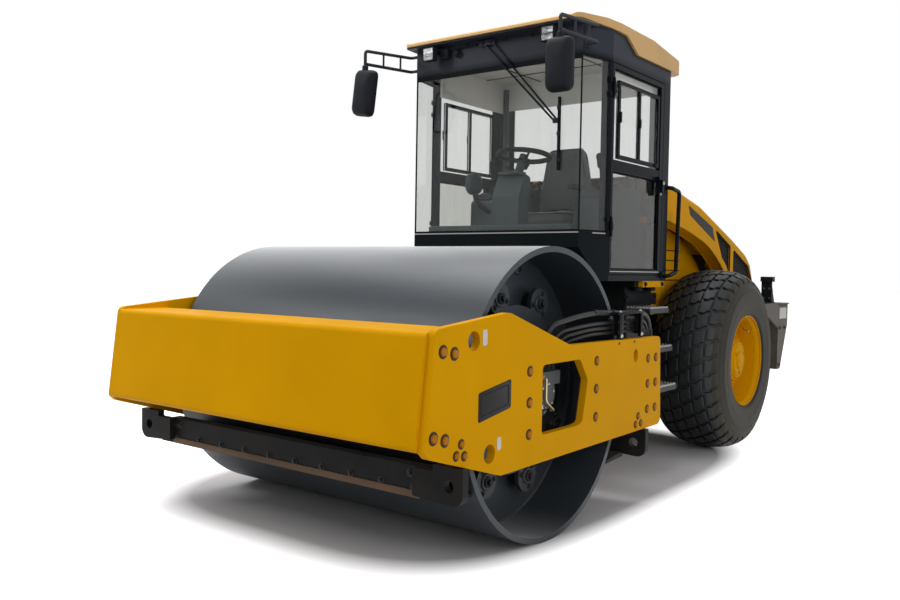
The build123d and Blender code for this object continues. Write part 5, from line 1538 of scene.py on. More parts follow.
def makeWorkLights(s):
    low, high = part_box("work_lights")
    halfWide, halfHigh = s.half
    housings, bowls, lenses = bmesh.new(), bmesh.new(), bmesh.new()
    for _, sign in bothSides:
        centre = Vector((sign * (high.x - halfWide), low.y, (low.z + high.z) / 2))

        def put(u, v, depth):
            return centre + Vector((u, depth, v))

        outline = roundedBox(-halfWide, halfWide, -halfHigh, halfHigh, s.corner, 4)
        lofted(housings, outline, s.shell, put)
        half, v = s.finHalf
        for i in range(s.fins):  # cooling fins on the lamp's back
            x = s.spread * (i / (s.fins - 1) - 0.5)
            softBox(housings, put(x - half, -v, 0.048), put(x + half, v, 0.062), 0.001, 1)
        softBox(housings, put(-0.015, 0.016, 0.048),
            (centre.x + 0.015, high.y, centre.z + 0.034), 0.002)
        screw = put(0.0, 0.025, 0.0) + Vector((0.016, 0.085, 0))
        roundHead(housings, screw, (1, 0, 0), 0.009, 0.006)
        for v in s.cells:  # two reflector cells, one over the other, with ribs in the lens
            a, b = s.cellHalf
            cell = roundedBox(-a, a, -b, b, 0.006, 3)
            lofted(bowls, cell, s.bowl, lambda a, b, depth: put(a, v + b, depth))
        a, b = s.lensHalf
        lens = roundedBox(-a, a, -b, b, 0.006, 3)
        slab(lenses, lens, 0.002, lambda u, w, t: put(u, w, 0.0035 - t))
        half, v = s.ribHalf
        for i in range(s.ribs):
            x = s.spread * (i / (s.ribs - 1) - 0.5)
            softBox(lenses, put(x - half, -v, 0.0008), put(x + half, v, 0.0017), 0.0004, 1)
    piece = makePiece("work_light_housings", housings, "lampHousing", slot="work_lights")
    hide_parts("work_lights")
    makePiece("work_light_bowls", bowls, "lampBowl")
    makePiece("work_light_lenses", lenses, "lampLens")


headerSettings = Settings(
    box=((-0.436, 2.85), (-0.366, 2.922)), boxDeep=0.04, eye=(-0.3, 2.88),
    boxBolt=((0.007, -0.001), (0.007, 0.003), (0.005, 0.005)),
    eyeCase=((0.03, -0.001), (0.03, 0.006), (0.022, 0.01), (0.022, 0.034), (0.016, 0.04),
             (0.006, 0.042)),
    # the lamps' cable and its clips: place across, ahead of the header, height
    cable=((-0.366, 0.012, 2.902), (-0.2, 0.008, 2.915), (0.16, 0.008, 2.925),
           (0.44, 0.01, 2.915)), clips=(-0.22, 0.1, 0.3),
    clipZ=(2.908, 2.932), wiperFeet=(-0.08, -0.01), wiperFootZ=2.92,
    # the side wiper: its rubber's claws and its joint, across and in height
    claws=(2.1, 2.266, 2.43), clawX=(0.505, 0.529), wiperJoint=((0.4835, 2.33), (0.522, 2.364)),
    railFeet=((-0.895, 2.01), (-0.915, 1.37)), railBolts=0.022,
    foot=((0.031, 0.0), (0.031, 0.005), (0.027, 0.007), (0.017, 0.009)),
    footBolt=((0.0055, 0), (0.0055, 0.004), (0.004, 0.006)),
)


def makeHeaderParts(s):
    face = cabLow.y
    bm = bmesh.new()
    (x0, z0), (x1, z1) = s.box
    softBox(bm, (x0, face - s.boxDeep, z0), (x1, face + 0.001, z1), 0.006, 3)
    for z in (z0 + 0.014, z1 - 0.014):
        turned(bm, ((x0 + x1) / 2, face - s.boxDeep, z), (0, -1, 0), s.boxBolt, 6)
    x, z = s.eye
    turned(bm, (x, face, z), (0, -1, 0), s.eyeCase, 28)
    tube(bm, eased([(x, face - ahead, z) for x, ahead, z in s.cable], 0.03), 0.004, 8)
    for x in s.clips:
        z0, z1 = s.clipZ
        softBox(bm, (x - 0.006, face - 0.014, z0), (x + 0.006, face + 0.001, z1), 0.002)
    for x in s.wiperFeet:
        roundHead(bm, (x, face - 0.0265, s.wiperFootZ), (0, -1, 0), 0.016, 0.01)
    x0, x1 = s.clawX
    for z in s.claws:
        softBox(bm, (x0, face - 0.0185, z - 0.012), (x1, face - 0.004, z + 0.012), 0.002)
    (x0, z0), (x1, z1) = s.wiperJoint
    softBox(bm, (x0, face - 0.03, z0), (x1, face - 0.024, z1), 0.003)
    makePiece("header_fittings", bm, "lampHousing", slot="wiper")
    bm = bmesh.new()
    for _, sign in bothSides:
        at = besideWheels(sign)
        for y, z in s.railFeet:
            foot = at(cabSide, y, z)
            turned(bm, foot, (sign, 0, 0), s.foot, 28)
            for dz in (-s.railBolts, s.railBolts):
                turned(bm, foot + Vector((sign * 0.005, 0, dz)), (sign, 0, 0), s.footBolt, 6)
    makePiece("rail_feet", bm, "cabBlack", slot="grab_rails")


stepSettings = Settings(
    treads=((0.605, 0.895), (0.875, 0.858), (1.145, 0.822)), inner=0.64, y=(-1.29, -0.985),
    # a tooth's corners, along as shares of the pitch and up in metres
    pitch=0.0225, tooth=((0, -0.001), (0.8, -0.001), (0.55, 0.011), (0.25, 0.011)), sheet=0.006,
    stud=((0.0075, -0.001), (0.0075, 0.003), (0.0045, 0.0055)), grid=0.036,
    plate=((-1.3, 1.16), (-0.8, 1.246)), plateX=0.64, bolts=(-1.278, -0.822),
)


def makeStepParts(side, sign, s):
    put, at = onSide(sign), besideWheels(sign)
    y0, y1 = map(wheelY, s.y)
    tooth = [(u * s.pitch, v) for u, v in s.tooth]

    def teeth(start, end, top, first, place):  # a row of teeth between two places
        for i in range(int((end - start) / s.pitch)):
            u = start + s.pitch * (i + first)
            slab(bm, [(u + p, top + v) for p, v in tooth], s.sheet, place, 0.001, 1)

    bm = bmesh.new()
    for top, outer in s.treads:
        for y in (y0, y1 - s.sheet):  # the front and rear edges
            teeth(s.inner, outer, top, 0.1, lambda a, b, w: put((a, y + w, b)))
        teeth(y0, y1, top, 0.2, lambda a, b, w: put((outer - s.sheet + w, a, b)))
        for i in range(int((outer - s.inner - 0.03) / s.grid)):
            for j in range(int((y1 - y0 - 0.03) / s.grid)):  # raised studs, in staggered rows
                x, y = s.inner + 0.028 + i * s.grid, y0 + 0.026 + (j + i % 2 / 2) * s.grid
                turned(bm, put((x, y, top)), (0, 0, 1), s.stud, 8)
    makePiece(f"step_teeth_{side}", bm, "wornSteel", slot="access_steps")
    bm = bmesh.new()
    (a0, z0), (a1, z1) = s.plate
    cover = roundedBox(wheelY(a0), wheelY(a1), z0, z1, 0.012)
    slab(bm, cover, 0.0035, lambda u, v, w: put((s.plateX + w, u, v)), 0.001)
    for y in s.bolts:
        boltHead(bm, at(s.plateX + 0.0035, y, 1.222), (sign, 0, 0), 0.015)
    makePiece(f"platform_cover_{side}", bm, "frameBlack", slot="cab_platform")


makeMirrors(mirrorSettings)
makeWorkLights(workLightSettings)
makeHeaderParts(headerSettings)
for side, sign in bothSides:
    makeStepParts(side, sign, stepSettings)
print("outside of the cab ready")


# hood: grilles, lips, dark strip, louvres
hoodLow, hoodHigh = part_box("hood_shell")
hoodSettings = Settings(
    # half width of the sheet at two heights
    low=(1.11, 0.615), high=(2.14, 0.565), sheet=0.012,
    openings=(((0.535, 1.765), (0.871, 1.64), (0.835, 1.395), (0.7, 1.48)),
              ((0.962, 1.606), (1.33, 1.466), (1.425, 1.32), (1.44, 1.165), (0.905, 1.165))),
    slatPitch=0.024, slatHigh=0.009,
    arch=((0.705, 1.132), (0.64, 1.215), (0.448, 1.405), (0.24, 1.535), (0.019, 1.634),
          (-0.38, 1.725), (-0.795, 1.789)),
    strip=((-0.069, 1.948), (-0.037, 1.866), (0.502, 1.667), (0.452, 1.791)),
    louvres=(1.33, 1.41, 1.49, 1.57), louvreHigh=0.014, louvreY=(-0.74, 0.06), panelX=0.4553,
    panelBolts=((-0.7, -0.35, 0.02), (1.23, 1.64)), archX=0.6985, innerX=0.594, innerLift=0.082,
    # the rear face: its slots, the height above which it leans, how much, handle and latches
    rearRows=10, rearHalf=0.4, rearFrom=1.16, rearPitch=0.024, leanFrom=1.33, lean=0.37,
    handle=(0.16, 1.455, 1.462), latchX=0.44,
    seal=((0.591, 1.406), (0.556525, 2.066), (0.5122, 2.104)),
)


def hoodX(z, s):
    (z0, x0), (z1, x1) = s.low, s.high
    return x0 + (x1 - x0) * (z - z0) / (z1 - z0)


def spanAt(outline, z):  # the two ends of a level line across a closed outline
    cuts = []
    for (y0, z0), (y1, z1) in zip(outline, outline[1:] + outline[:1]):
        if min(z0, z1) <= z < max(z0, z1):
            cuts.append(y0 + (y1 - y0) * (z - z0) / (z1 - z0))
    return (min(cuts), max(cuts)) if len(cuts) > 1 else None


def makeHoodSide(side, sign, s):
    put, at = onSide(sign), besideWheels(sign)
    bm = bmesh.new()
    for outline in s.openings:
        heights = [z for _, z in outline]
        z = min(heights) + s.slatPitch * 0.6
        while z < max(heights) - 0.008:
            span = spanAt(outline, z)
            if span and span[1] - span[0] > 0.03:
                x = hoodX(z, s) - s.sheet
                y0, y1 = map(wheelY, span)
                blade = [(x - 0.006, z), (x + 0.006, z - 0.004), (x + 0.006, z - 0.001),
                    (x - 0.006, z + s.slatHigh)]
                slab(bm, blade, y1 - y0, lambda u, v, w, y0=y0: put((u, y0 + w, v)))
            z += s.slatPitch
        for share in (0.33, 0.66):  # upright bars behind the slats
            y = min(p[0] for p in outline) * (1 - share) + max(p[0] for p in outline) * share
            crossing = spanAt([(b, a) for a, b in outline], y)
            if crossing:
                tube(bm, [at(hoodX(z, s) - 0.02, y, z) for z in crossing], 0.004, 8)
        # a folded rim round the opening
        rim = roundedLoop(list(outline), 0.02, 3)
        line = [put((hoodX(z, s) + 0.001, wheelY(y), z)) for y, z in rim]
        tube(bm, line + line[:1], 0.005, 8)
    makePiece(f"grille_slats_{side}", bm, "grilleBlack", "hood", "hood_grilles")

    bm = bmesh.new()
    line = [at(s.archX, y, z + 0.004) for y, z in s.arch]
    tube(bm, eased(line, 0.12, 5), 0.0065, 10)
    inner = [at(s.innerX, y, z + s.innerLift) for y, z in s.arch[1:-1]]
    tube(bm, eased(inner, 0.12, 5), 0.006, 8)
    makePiece(f"arch_bead_{side}", bm, "machineYellow", "hood", "machine_yellow")

    bm = bmesh.new()
    strip = roundedLoop([(wheelY(y), z) for y, z in s.strip], 0.01, 3)
    slab(bm, strip, 0.0016, lambda u, v, w: put((hoodX(v, s) + w, u, v)), 0.0005, 1)
    makePiece(f"hood_strip_{side}", bm, "plateDark", "hood")

    # dark strips behind the louvres' openings: painted shade for the dark inside the gaps
    bm = bmesh.new()
    y0, y1 = map(wheelY, s.louvreY)
    for z in s.louvres:
        softBox(bm, put((s.panelX - 0.0075, y0 + 0.001, z + 0.0005)),
            put((s.panelX - 0.0015, y1 - 0.001, z + s.louvreHigh - 0.0005)), 0.0006, 1)
    makePiece(f"louvre_painted_shade_{side}", bm, "plateDark")
    bm = bmesh.new()
    for z in s.louvres:  # a pressed lip over each gap
        top = z + s.louvreHigh
        lip = [(0, top), (0.011, top - 0.006), (0.012, top - 0.004), (0.006, top + 0.01),
            (0, top + 0.014)]
        slab(bm, lip, y1 - y0, lambda u, v, w: put((s.panelX + u, y0 + w, v)))
    for y in s.panelBolts[0]:
        for z in s.panelBolts[1]:
            boltHead(bm, at(s.panelX, y, z), (sign, 0, 0), 0.014)
    makePiece(f"louvre_lips_{side}", bm, "machineYellow", slot="side_panels")


def makeHoodEnds(s):
    # the rear face's slots, its handle and the seal round the open front
    bm = bmesh.new()
    # the slots are dark plates on the rear face: painted shade for the dark of the openings
    for i in range(s.rearRows):
        z = s.rearFrom + s.rearPitch * i
        back = 0.001 if z < s.leanFrom else 0.004 + (z - s.leanFrom) * s.lean
        y = hoodHigh.y - back
        row = roundedBox(-s.rearHalf, s.rearHalf, z, z + 0.012, 0.005, 3)
        slab(bm, row, 0.003, lambda u, v, w: Vector((u, y - 0.0015 + w, v)))
    makePiece("rear_slots", bm, "grilleBlack", "hood", "hood_grilles")
    bm = bmesh.new()
    y = hoodHigh.y - 0.05
    half, low, high = s.handle
    handle = ((-half, y - 0.012, low), (-half, y + 0.044, high), (half, y + 0.044, high),
        (half, y - 0.012, low))
    tube(bm, eased(handle, 0.025), 0.009)
    for x in (-s.latchX, s.latchX):  # latches at the rear corners
        for half, y0, y1, z0, z1, edge in ((0.028, -0.003, 0.01, 1.18, 1.27, 0.005),
                (0.012, 0.008, 0.017, 1.192, 1.246, 0.004)):
            softBox(bm, (x - half, hoodHigh.y + y0, z0), (x + half, hoodHigh.y + y1, z1), edge)
    makePiece("hood_handle", bm, "lampHousing", "hood")
    bm = bmesh.new()
    front = hoodLow.y + 0.02
    outline = [*((-x, z) for x, z in s.seal), *reversed(s.seal)]
    tube(bm, eased([(x, front, z) for x, z in outline], 0.04), 0.007, 8)
    makePiece("hood_seal", bm, "sealRubber", "hood")


for side, sign in bothSides:
    makeHoodSide(side, sign, hoodSettings)
makeHoodEnds(hoodSettings)
print("hood ready")


# hose ends, clamps and the drum motor's parts
hoseSettings = Settings(
    x=1.0925, portX=1.01, portTop=0.874, beamTop=0.985, turnY=0.33, rise=0.026,
    # height behind the motor, radius, place on the port block, place on the cross beam
    rows=((1.146, 0.015, -0.04, 1.094), (1.109, 0.011, 0.005, 1.061),
          (1.081, 0.011, 0.048, 1.031), (1.053, 0.011, 0.092, 1.001)),
    # sections as shares of the hose's radius, with heights in metres
    nut=((1.55, 0.0), (1.55, 0.016), (1.25, 0.018), (1.25, 0.024)),
    sleeve=((1.22, 0.022), (1.3, 0.026), (1.3, 0.062), (1.1, 0.066)),
    clamps=(0.6, 0.86), clampHalf=0.012, guards=((0, 0.38, 0.52), (2, 0.66, 0.78)),
    guardPitch=0.007, guard=((0.0004, 0.0), (0.0022, 0.001), (0.0022, 0.005), (0.0004, 0.006)),
)


def hoseHeight(row, y, s):  # the hoses lie level between the clamps, the first rises forwards
    z, rear = s.rows[row][0], s.rows[row][3]
    share = (rear - y) / (rear - s.turnY)
    return z + (s.rise * share if row == 0 else 0.0)


def makeHoseParts(s):
    bm = bmesh.new()
    for _, radius, portY, rearY in s.rows:
        for x, y, foot in ((s.portX, portY, s.portTop), (s.x, rearY, s.beamTop)):
            for rows, sides in ((s.nut, 6), (s.sleeve, 20)):
                turned(bm, fromDrum(x, y, foot), (0, 0, 1), [(radius * r, h) for r, h in rows],
                    sides)
    makePiece("hose_ends", bm, "boltDark", "front_frame", "drum_motor")

    bm = bmesh.new()
    for y in s.clamps:
        for row, (_, radius, _, _) in enumerate(s.rows):
            z = hoseHeight(row, y, s)
            softBox(bm, fromDrum(s.x - radius - 0.004, y - s.clampHalf, z - radius - 0.003),
                fromDrum(s.x + 0.0155, y + s.clampHalf, z + radius + 0.003), 0.003)
        roundHead(bm, fromDrum(s.x - 0.019, y, 1.128), (-1, 0, 0), 0.007, 0.005)
    for row, start, end in s.guards:  # wound guards where the hoses rub
        way = Vector((0, 1, -s.rise / 0.76 if row == 0 else 0))
        rows = [(s.rows[row][1] + r, h) for r, h in s.guard]
        for i in range(int((end - start) / s.guardPitch)):
            y = start + s.guardPitch * i
            turned(bm, fromDrum(s.x, y, hoseHeight(row, y, s)), way, rows, 14)
    makePiece("hose_clamps", bm, "hoseRubber", "front_frame", "drum_hoses")


motorSettings = Settings(
    flangeFace=0.9706, boltCircle=0.131, bolts=10, bodyFace=1.0356, coverCircle=0.062,
    plugs=((-0.05, 0.7), (0.04, 0.676), (0.0, 0.8)),
    plug=((0.014, -0.001), (0.014, 0.008), (0.008, 0.009), (0.008, 0.004)),
    cover=((0.074, 0), (0.074, 0.004), (0.048, 0.006), (0.044, 0.012), (0.02, 0.014)),
    lug=((0.008, 0), (0.007, 0.026), (0.004, 0.028)), lugCircle=0.1,
    pipe=((1.034, -0.052, 0.85), (1.062, -0.052, 0.85), (1.066, -0.06, 0.73),
          (1.062, 0.03, 0.672), (1.034, 0.04, 0.676)),
    pipeNut=((0.012, 0), (0.012, 0.012), (0.009, 0.016)),
)


def makeMotorParts(s):
    out = (1, 0, 0)
    flange = fromDrum(s.flangeFace, 0, drumCentre.z)
    body = fromDrum(s.bodyFace, 0, drumCentre.z - 0.012)
    bm = bmesh.new()
    for spot in spotsRound(flange, s.bolts, s.boltCircle, math.pi / s.bolts):
        boltHead(bm, spot, out, 0.02)
    for spot in spotsRound(body, 6, s.coverCircle, 0.3):
        boltHead(bm, spot, out, 0.013, False)
    for y, z in s.plugs:
        turned(bm, fromDrum(s.bodyFace, y, z), out, s.plug, 6)
    makePiece("motor_bolts", bm, "boltZinc", "front_frame", "drum_motor")
    bm = bmesh.new()
    turned(bm, fromDrum(s.bodyFace - 0.001, 0, drumCentre.z), out, s.cover, 40)
    for spot in spotsRound(flange, 12, s.lugCircle):
        turned(bm, spot, out, s.lug, 8)
    makePiece("motor_casing", bm, "motorIron", "front_frame", "drum_motor")
    bm = bmesh.new()
    pipe = eased([fromDrum(*p) for p in s.pipe], 0.024, 6)
    tube(bm, pipe, 0.0065, 12)
    for p in (pipe[0], pipe[-1]):
        turned(bm, p + Vector((0.001, 0, 0)), out, s.pipeNut, 6)
    makePiece("motor_pipe", bm, "brassFitting", "front_frame")


bracketSettings = Settings(posts=((0.6, 0.024), (0.86, 0.013)), inner=1.126, foot=1.016,
    strip=0.012, stripInner=1.109, stripY=(0.556, 0.89), web=0.006, ribHalf=0.009)


def makeHoseBracket(s):
    # two posts of folded sheet on the plate's edge, joined by a strip along their tops
    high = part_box("hose_bracket")[1]
    top = high.z - s.strip
    bm = bmesh.new()
    for y, half in s.posts:
        for x0, x1, y0, y1, lift in ((high.x - s.web, high.x, y - half, y + half, 0),
                (s.inner, high.x - 0.002, y + half - s.web, y + half, 0.004),
                (s.stripInner, s.inner + 0.003, y - s.ribHalf, y + s.ribHalf, 0.02)):
            softBox(bm, fromDrum(x0, y0, s.foot + lift), fromDrum(x1, y1, top), 0.002)
    start, end = s.stripY
    softBox(bm, fromDrum(s.stripInner, start, top), fromDrum(high.x, end, high.z), 0.002)
    piece = makePiece("bracket_posts", bm, "frameBlack", "front_frame", "hose_bracket")
    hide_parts("hose_bracket")
    bm = bmesh.new()
    for y, _ in s.posts:
        boltHead(bm, fromDrum(high.x, y, 1.036), (1, 0, 0), 0.012)
        boltHead(bm, fromDrum(high.x - 0.012, y, high.z), (0, 0, 1), 0.012)
    makePiece("bracket_bolts", bm, "boltZinc", "front_frame", "hose_bracket")


slotSettings = Settings(y=0.775, z=0.912, length=0.078, width=0.054)


def makeSlottedPlate(side, sign, s):
    # the side plate with its lifting slot opened out to its full size
    cutter = bmesh.new()
    radius = s.width / 2
    straight = (s.length - s.width) / 2
    half = [math.pi * i / 15 for i in range(16)]
    outline = [(radius * math.cos(a), radius * math.sin(a) + straight) for a in half]
    outline += [(radius * math.cos(a), radius * math.sin(a) - straight)
        for a in (math.pi + b for b in half)]
    slab(cutter, outline, 0.12, lambda u, v, w: fromDrum(sign * (plateLow.x - 0.04 + w),
        s.y + u, s.z + v))
    knifeMesh = meshFrom("slotKnife", cutter)
    knife = newObject("slotKnife", knifeMesh)
    source = frame["nodes"][f"side_plate_{side}"]
    piece = newObject(f"slotted_plate_{side}", source.data.copy())
    cut = piece.modifiers.new("slot", "BOOLEAN")
    cut.operation, cut.solver, cut.object = "DIFFERENCE", "EXACT", knife
    applyModifier(piece, "slot")
    bpy.data.objects.remove(knife)
    bpy.data.meshes.remove(knifeMesh)
    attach(piece, "front_frame")
    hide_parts(f"side_plate_{side}")


makeHoseParts(hoseSettings)
makeMotorParts(motorSettings)
makeHoseBracket(bracketSettings)
for side, sign in bothSides:
    makeSlottedPlate(side, sign, slotSettings)
print("hoses and motor ready")


# tail: lamps, reflectors, plates and bolts
tailSettings = Settings(
    half=0.9, slope=((0.52, 1.4), (0.93, 1.592)), lampX=(0.744, 0.796), lampY=1.42,
    capPlate=((0.716, 1.354, 1.37), (0.824, 1.418, 1.373)), capBolts=(1.17, 1.26),
    lamp=((0.019, -0.001), (0.019, 0.006), (0.015, 0.011), (0.006, 0.013)),
    rim=((0.022, -0.001), (0.022, 0.005), (0.0185, 0.005), (0.0185, -0.001)),
    reflectors=(0.64, 1.04), reflector=((0.04, -0.006), (0.04, 0.006), (0.036, 0.008)),
    plates=((1.345, 0.985), (1.545, 1.085)), rivets=9,
    sideBolts=((1.36, 0.56), (1.36, 0.9), (1.5, 0.9)),
    jaw=((-0.07, -0.06), (0.07, -0.06), (0.07, 0.02), (0.035, 0.075), (-0.035, 0.075),
         (-0.07, 0.02)), pinZ=0.7,
    pin=((0.013, 0), (0.015, 0.004), (0.015, 0.15), (0.024, 0.152), (0.024, 0.16),
        (0.01, 0.163)),
    seams=(0.54, 0.64, 0.74, 0.84, 0.93, 1.1),
)


def tailRear(z, s):  # how far back the tail's face is at a height
    (z0, y0), (z1, y1) = s.slope
    return y0 + (y1 - y0) * min(1.0, max(0.0, (z - z0) / (z1 - z0)))


def makeTailParts(s):
    lenses = {"redLens": bmesh.new(), "amberLens": bmesh.new()}
    rims, bolts, plates = bmesh.new(), bmesh.new(), bmesh.new()
    back = (0, 1, 0)
    for _, sign in bothSides:
        put, at = onSide(sign), besideWheels(sign)
        for x, color in zip(s.lampX, lenses):
            here = at(x, s.lampY, 1.3475)
            turned(lenses[color], here, back, s.lamp)
            turned(rims, here, back, s.rim, hollow=True)
        for z in s.reflectors:
            turned(lenses["redLens"], at(0.78, tailRear(z, s), z), back, s.reflector, 32)
        # pale cap plates, and bare plates on the tail's sides
        softBox(plates, *(at(*p) for p in s.capPlate), 0.001, 1)
        (y0, z0), (y1, z1) = s.plates
        cover = roundedBox(wheelY(y0), wheelY(y1), z0, z1, 0.01)
        slab(plates, cover, 0.002, lambda u, v, w: put((s.half + w, u, v)), 0.0006, 1)
        for i in range(s.rivets):
            roundHead(bolts, at(s.half, 1.33 + 0.03 * i, 1.108), (sign, 0, 0), 0.006, 0.004)
        for y, z in s.sideBolts:
            boltHead(bolts, at(s.half, y, z), (sign, 0, 0), 0.024)
        for z in s.capBolts:
            for x in s.lampX:
                boltHead(bolts, at(x, 1.36, z), (0, -1, 0), 0.012)
    for color, bm in lenses.items():
        makePiece(f"tail_{color}", bm, color)
    makePiece("tail_lamp_rims", rims, "lampHousing", slot="rear_posts")
    makePiece("tail_bolts", bolts, "tailGrey", slot="tail_box")
    makePiece("tail_plates", plates, "bareWhite")


def makeTowPoint(s):
    # a clevis with its pin and lifting ring low on the tail
    bm = bmesh.new()
    z, y = s.pinZ, tailRear(s.pinZ, s)
    for dz in (-0.055, 0.035):
        jaw = roundedLoop([(u, y + v) for u, v in s.jaw], 0.02)
        slab(bm, jaw, 0.02, lambda u, v, w: fromWheel(u, v, z + dz + w), 0.002)
    turned(bm, fromWheel(0, y + 0.04, z - 0.075), (0, 0, 1), s.pin)
    loop = [fromWheel(0.028 * c, y + 0.04, z + 0.108 + 0.028 * d) for c, d in circle(20)]
    tube(bm, loop + loop[:1], 0.004, 8)
    makePiece("tow_clevis", bm, "tailGrey", slot="tail_box")
    bm = bmesh.new()
    for x in (-0.52, 0.52):  # folded seams along the rear face
        tube(bm, [fromWheel(x, tailRear(z, s) + 0.002, z) for z in s.seams], 0.006, 8)
    makePiece("tail_seams", bm, "tailGrey", slot="tail_box")


makeTailParts(tailSettings)
makeTowPoint(tailSettings)
print("tail ready")


# roof: fixings, lifting eyes and edge seam
roofSettings = Settings(
    # the cap's upper line: place behind the wheels' axis, height
    crest=((-2.155, 2.978), (-1.84, 3.004), (-1.19, 2.9995), (-0.76, 2.9465), (-0.7, 2.88)),
    fixings=((0.55, -2.02), (0.62, -1.5), (0.62, -1.0), (0.2, -2.05), (0.45, -0.82)),
    eyes=((0.5, -1.78), (0.5, -1.06)), eyeRing=0.022,
    # the folded joint across the rear of the cap: place, rise
    fold=((-0.915, 0.003), (-0.905, 0.009), (-0.8, 0.009), (-0.77, 0.003)), foldHalf=0.742,
    ribs=(-2.0, -1.9, -1.8, -1.6, -1.4, -1.2, -1.1, -1.0, -0.92),
)


def roofTop(y, s):
    for (y0, z0), (y1, z1) in zip(s.crest, s.crest[1:]):
        if y <= y1:
            return z0 + (z1 - z0) * (y - y0) / (y1 - y0)
    return s.crest[-1][1]


def makeRoofParts(s):
    def onRoof(x, y, rise):
        return fromWheel(x, y, roofTop(y, s) + rise)

    bm = bmesh.new()
    for x, y in s.fixings:
        for sign in (-1, 1):
            roundHead(bm, onRoof(sign * x, y, -0.0015), (0, 0, 1), 0.013, 0.007)
    for x, y in s.eyes:
        for sign in (-1, 1):
            foot = onRoof(sign * x, y, -0.002)
            turned(bm, foot, (0, 0, 1), ((0.03, 0), (0.03, 0.005), (0.026, 0.007)))
            r = s.eyeRing
            loop = [foot + Vector((0, r * d, 0.012 + r * 0.75 + r * c)) for c, d in circle(20)]
            tube(bm, loop + loop[:1], 0.005, 8)
    makePiece("roof_fixings", bm, "roofTan", slot="roof_cap")
    bm = bmesh.new()
    fold = [(y, roofTop(y, s) + rise) for y, rise in s.fold]
    fold += [(y, roofTop(y, s) - 0.004) for y, _ in reversed(s.fold)]
    slab(bm, fold, 2 * s.foldHalf, lambda u, v, w: fromWheel(w - s.foldHalf, u, v), 0.002)
    makePiece("roof_fold", bm, "roofTan", slot="roof_cap")
    bm = bmesh.new()
    for x in (-0.3, 0.3):  # two pressed ribs along the cap
        tube(bm, [onRoof(x, y, 0.0005) for y in s.ribs], 0.006, 10)
    makePiece("roof_ribs", bm, "roofTan", slot="roof_cap")


makeRoofParts(roofSettings)
print("roof ready")


# joint, steering cylinders and what shows from below
jointSettings = Settings(
    pinX=0.3, collar=((0.053, 0), (0.0555, 0.003), (0.0555, 0.018), (0.053, 0.021)),
    port=((0.016, 0), (0.016, 0.016), (0.012, 0.018), (0.012, 0.03)),
    pinHead=((0.024, -0.004), (0.024, 0.004), (0.018, 0.007)),
    nipple=((0.005, 0), (0.005, 0.008), (0.003, 0.01), (0.0035, 0.015)),
    boltCircle=0.085,
)


def makeSteeringJoint(s):
    up = Vector((0, 0, 1))
    for side, sign in bothSides:
        low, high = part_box(f"steering_barrel_{side}")
        rodLow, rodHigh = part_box(f"steering_rod_{side}")
        z = (low.z + high.z) / 2
        root = Vector((sign * s.pinX, high.y - 0.055, z))
        eye = Vector((sign * (min(abs(rodLow.x), abs(rodHigh.x)) + 0.045), rodLow.y + 0.045, z))
        way = (eye - root).normalized()
        bm = bmesh.new()
        turned(bm, root + way * 0.34, way, s.collar, 40)
        for reach in (0.075, 0.315):
            turned(bm, root + way * reach + up * 0.04, up, s.port, 6)
        makePiece(f"cylinder_glands_{side}", bm, "frameBlack", f"barrel_{side}")
        bm = bmesh.new()
        for out in (1, -1):
            turned(bm, root + up * 0.052 * out, up * out, s.pinHead)
        turned(bm, root + up * 0.058, up, s.nipple, 8)
        makePiece(f"cylinder_pins_{side}", bm, "boltZinc")
    bm = bmesh.new()
    yoke = middle("pivot_yoke")
    for out, end in zip((-1, 1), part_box("pivot_yoke")):
        for c, d in circle(8, math.pi / 8):
            spot = (s.boltCircle * c, yoke.y + s.boltCircle * d, end.z)
            boltHead(bm, Vector(spot), (0, 0, out), 0.016)
    makePiece("yoke_bolts", bm, "boltDark", "yoke", "pivot_yoke")


engineSettings = Settings(covers=6, pitch=0.17, cover=(0.16, 0.07), coverHigh=0.05,
    ribs=(0.14, 0.01))


def makeEngineParts(s):
    low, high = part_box("engine_block")
    bm = bmesh.new()
    middleY = (low.y + high.y) / 2
    x, half = s.cover
    for i in range(s.covers):  # rocker covers along the engine's top
        y = middleY + s.pitch * (i - (s.covers - 1) / 2)
        softBox(bm, (-x, y - half, high.z - 0.002), (x, y + half, high.z + s.coverHigh), 0.012, 3)
    inset, half = s.ribs
    for y in (low.y + inset, middleY, high.y - inset):  # ribs on both flanks
        for sign in (-1, 1):
            softBox(bm, (sign * (high.x - 0.002), y - half, low.z + 0.04),
                (sign * (high.x + 0.004), y + half, high.z - 0.06), 0.002, 1)
    makePiece("engine_covers", bm, "engineIron", slot="engine_block")


def makeAxleParts():
    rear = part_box("rear_axle")[1].y
    bm = bmesh.new()
    for c, d in circle(12):
        boltHead(bm, Vector((0.13 * c, rear, wheelCentre.z + 0.13 * d)), (0, 1, 0), 0.016)
    makePiece("axle_bolts", bm, "boltDark", slot="rear_axle")


makeSteeringJoint(jointSettings)
makeEngineParts(engineSettings)
makeAxleParts()
print("joint and underside ready")


# floor, light and camera
# shadowMiddle and shadowHalf place the painted shadow: the rounded box where the floor does not
# glow
stageSettings = Settings(size=60.0, floorColor=(0.62, 0.61, 0.62), shadowMiddle=(-0.15, 1.15, 0),
    shadowHalf=(1.35, 2.15, 1.0), glowFrom=0.7, glowTo=1.2, worldGlow=0.45)


def straightSeen(tree):  # whether a ray is the camera's, straight or by way of gloss or glass
    path = node(tree, "ShaderNodeLightPath")
    bent = plus(tree, path.outputs["Is Glossy Ray"], path.outputs["Is Transmission Ray"])
    return plus(tree, path.outputs["Is Camera Ray"], bent, True)


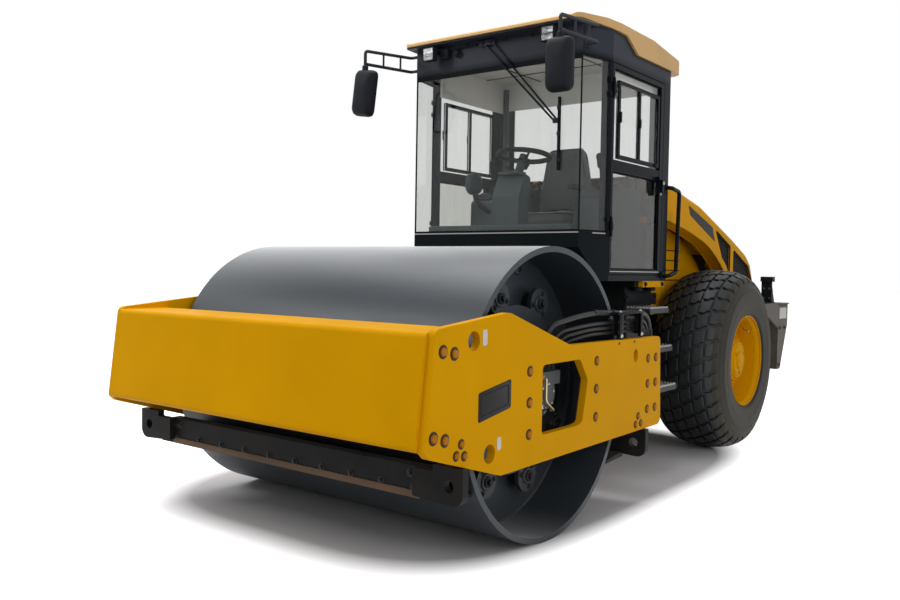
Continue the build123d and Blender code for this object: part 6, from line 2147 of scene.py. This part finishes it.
def makeStage(s):
    bm = bmesh.new()
    bmesh.ops.create_grid(bm, x_segments=1, y_segments=1, size=s.size)
    mesh = meshFrom("floor", bm)
    newObject("floor", mesh)
    material, tree, shader = newMaterial("floorPale", rough=0.9, specular=0.1)
    shader.inputs["Base Color"].default_value = (*s.floorColor, 1)
    seen = straightSeen(tree)
    shader.inputs["Emission Color"].default_value = (1, 1, 1, 1)
    # the floor glows white outside a rounded box round the machine and keeps its shadow inside it;
    # the box is a painted shadow, shaped like the machine's shadow and darker than the glowing
    # floor round it
    away = restPlace(tree)
    for operation, amount in (("SUBTRACT", fromDrum(*s.shadowMiddle)),
            ("DIVIDE", s.shadowHalf), ("MULTIPLY", None), ("DOT_PRODUCT", None)):
        step = node(tree, "ShaderNodeVectorMath", operation=operation)
        link(tree, away, step.inputs[0])
        feed(tree, step.inputs[1], away if amount is None else amount)
        away = step.outputs["Value" if operation == "DOT_PRODUCT" else "Vector"]
    glow = spread(tree, away, s.glowFrom, s.glowTo)
    link(tree, times(tree, seen, glow), shader.inputs["Emission Strength"])
    mesh.materials.append(material)

    world = bpy.data.worlds.new("softWhite")
    bpy.context.scene.world = world
    world.use_nodes = True
    tree = world.node_tree
    back = tree.nodes["Background"]
    seen = straightSeen(tree)
    back.inputs["Color"].default_value = (1, 1, 1, 1)
    link(tree, spread(tree, seen, 0, 1, s.worldGlow, 1.0), back.inputs["Strength"])


# lamps: name, place from the middle of the machine, aimed at, size, power
lampSettings = (
    ("topSoft", (-1.5, -0.5, 8.0), (0, 0, 0.5), 6.0, 430),
    ("keyLeft", (-5.5, -7.0, 6.5), (0, -0.5, 1.0), 3.5, 240),
    ("fillRight", (8.0, -4.0, 4.0), (0, 0, 1.0), 5.0, 150),
)


def makeLamps(rows):
    for name, place, target, size, power in rows:
        data = bpy.data.lights.new(name, "AREA")
        data.shape = "DISK"
        data.size = size
        data.energy = power
        lamp = newObject(name, data)
        lamp.location = place
        way = Vector(target) - Vector(place)
        lamp.rotation_euler = way.to_track_quat("-Z", "Y").to_euler()


# the camera's place is measured from the drum's middle on the ground
cameraSettings = Settings(place=(3.3417, -3.8321, 1.4027), yaw=0.6561, down=0.0371, roll=0.017,
    lens=34.49)


def makeCamera(s):
    data = bpy.data.cameras.new("camera")
    data.sensor_width = 36
    data.lens = s.lens
    camera = newObject("camera", data)
    turn = Matrix.Rotation(s.yaw, 4, "Z") @ Matrix.Rotation(math.pi / 2 - s.down, 4, "X")
    camera.matrix_world = Matrix.Translation(fromDrum(*s.place)) @ turn @ Matrix.Rotation(
        s.roll, 4, "Z")
    bpy.context.scene.camera = camera


makeStage(stageSettings)
makeLamps(lampSettings)
makeCamera(cameraSettings)
bpy.context.scene.view_settings.view_transform = "Standard"
print("stage ready")
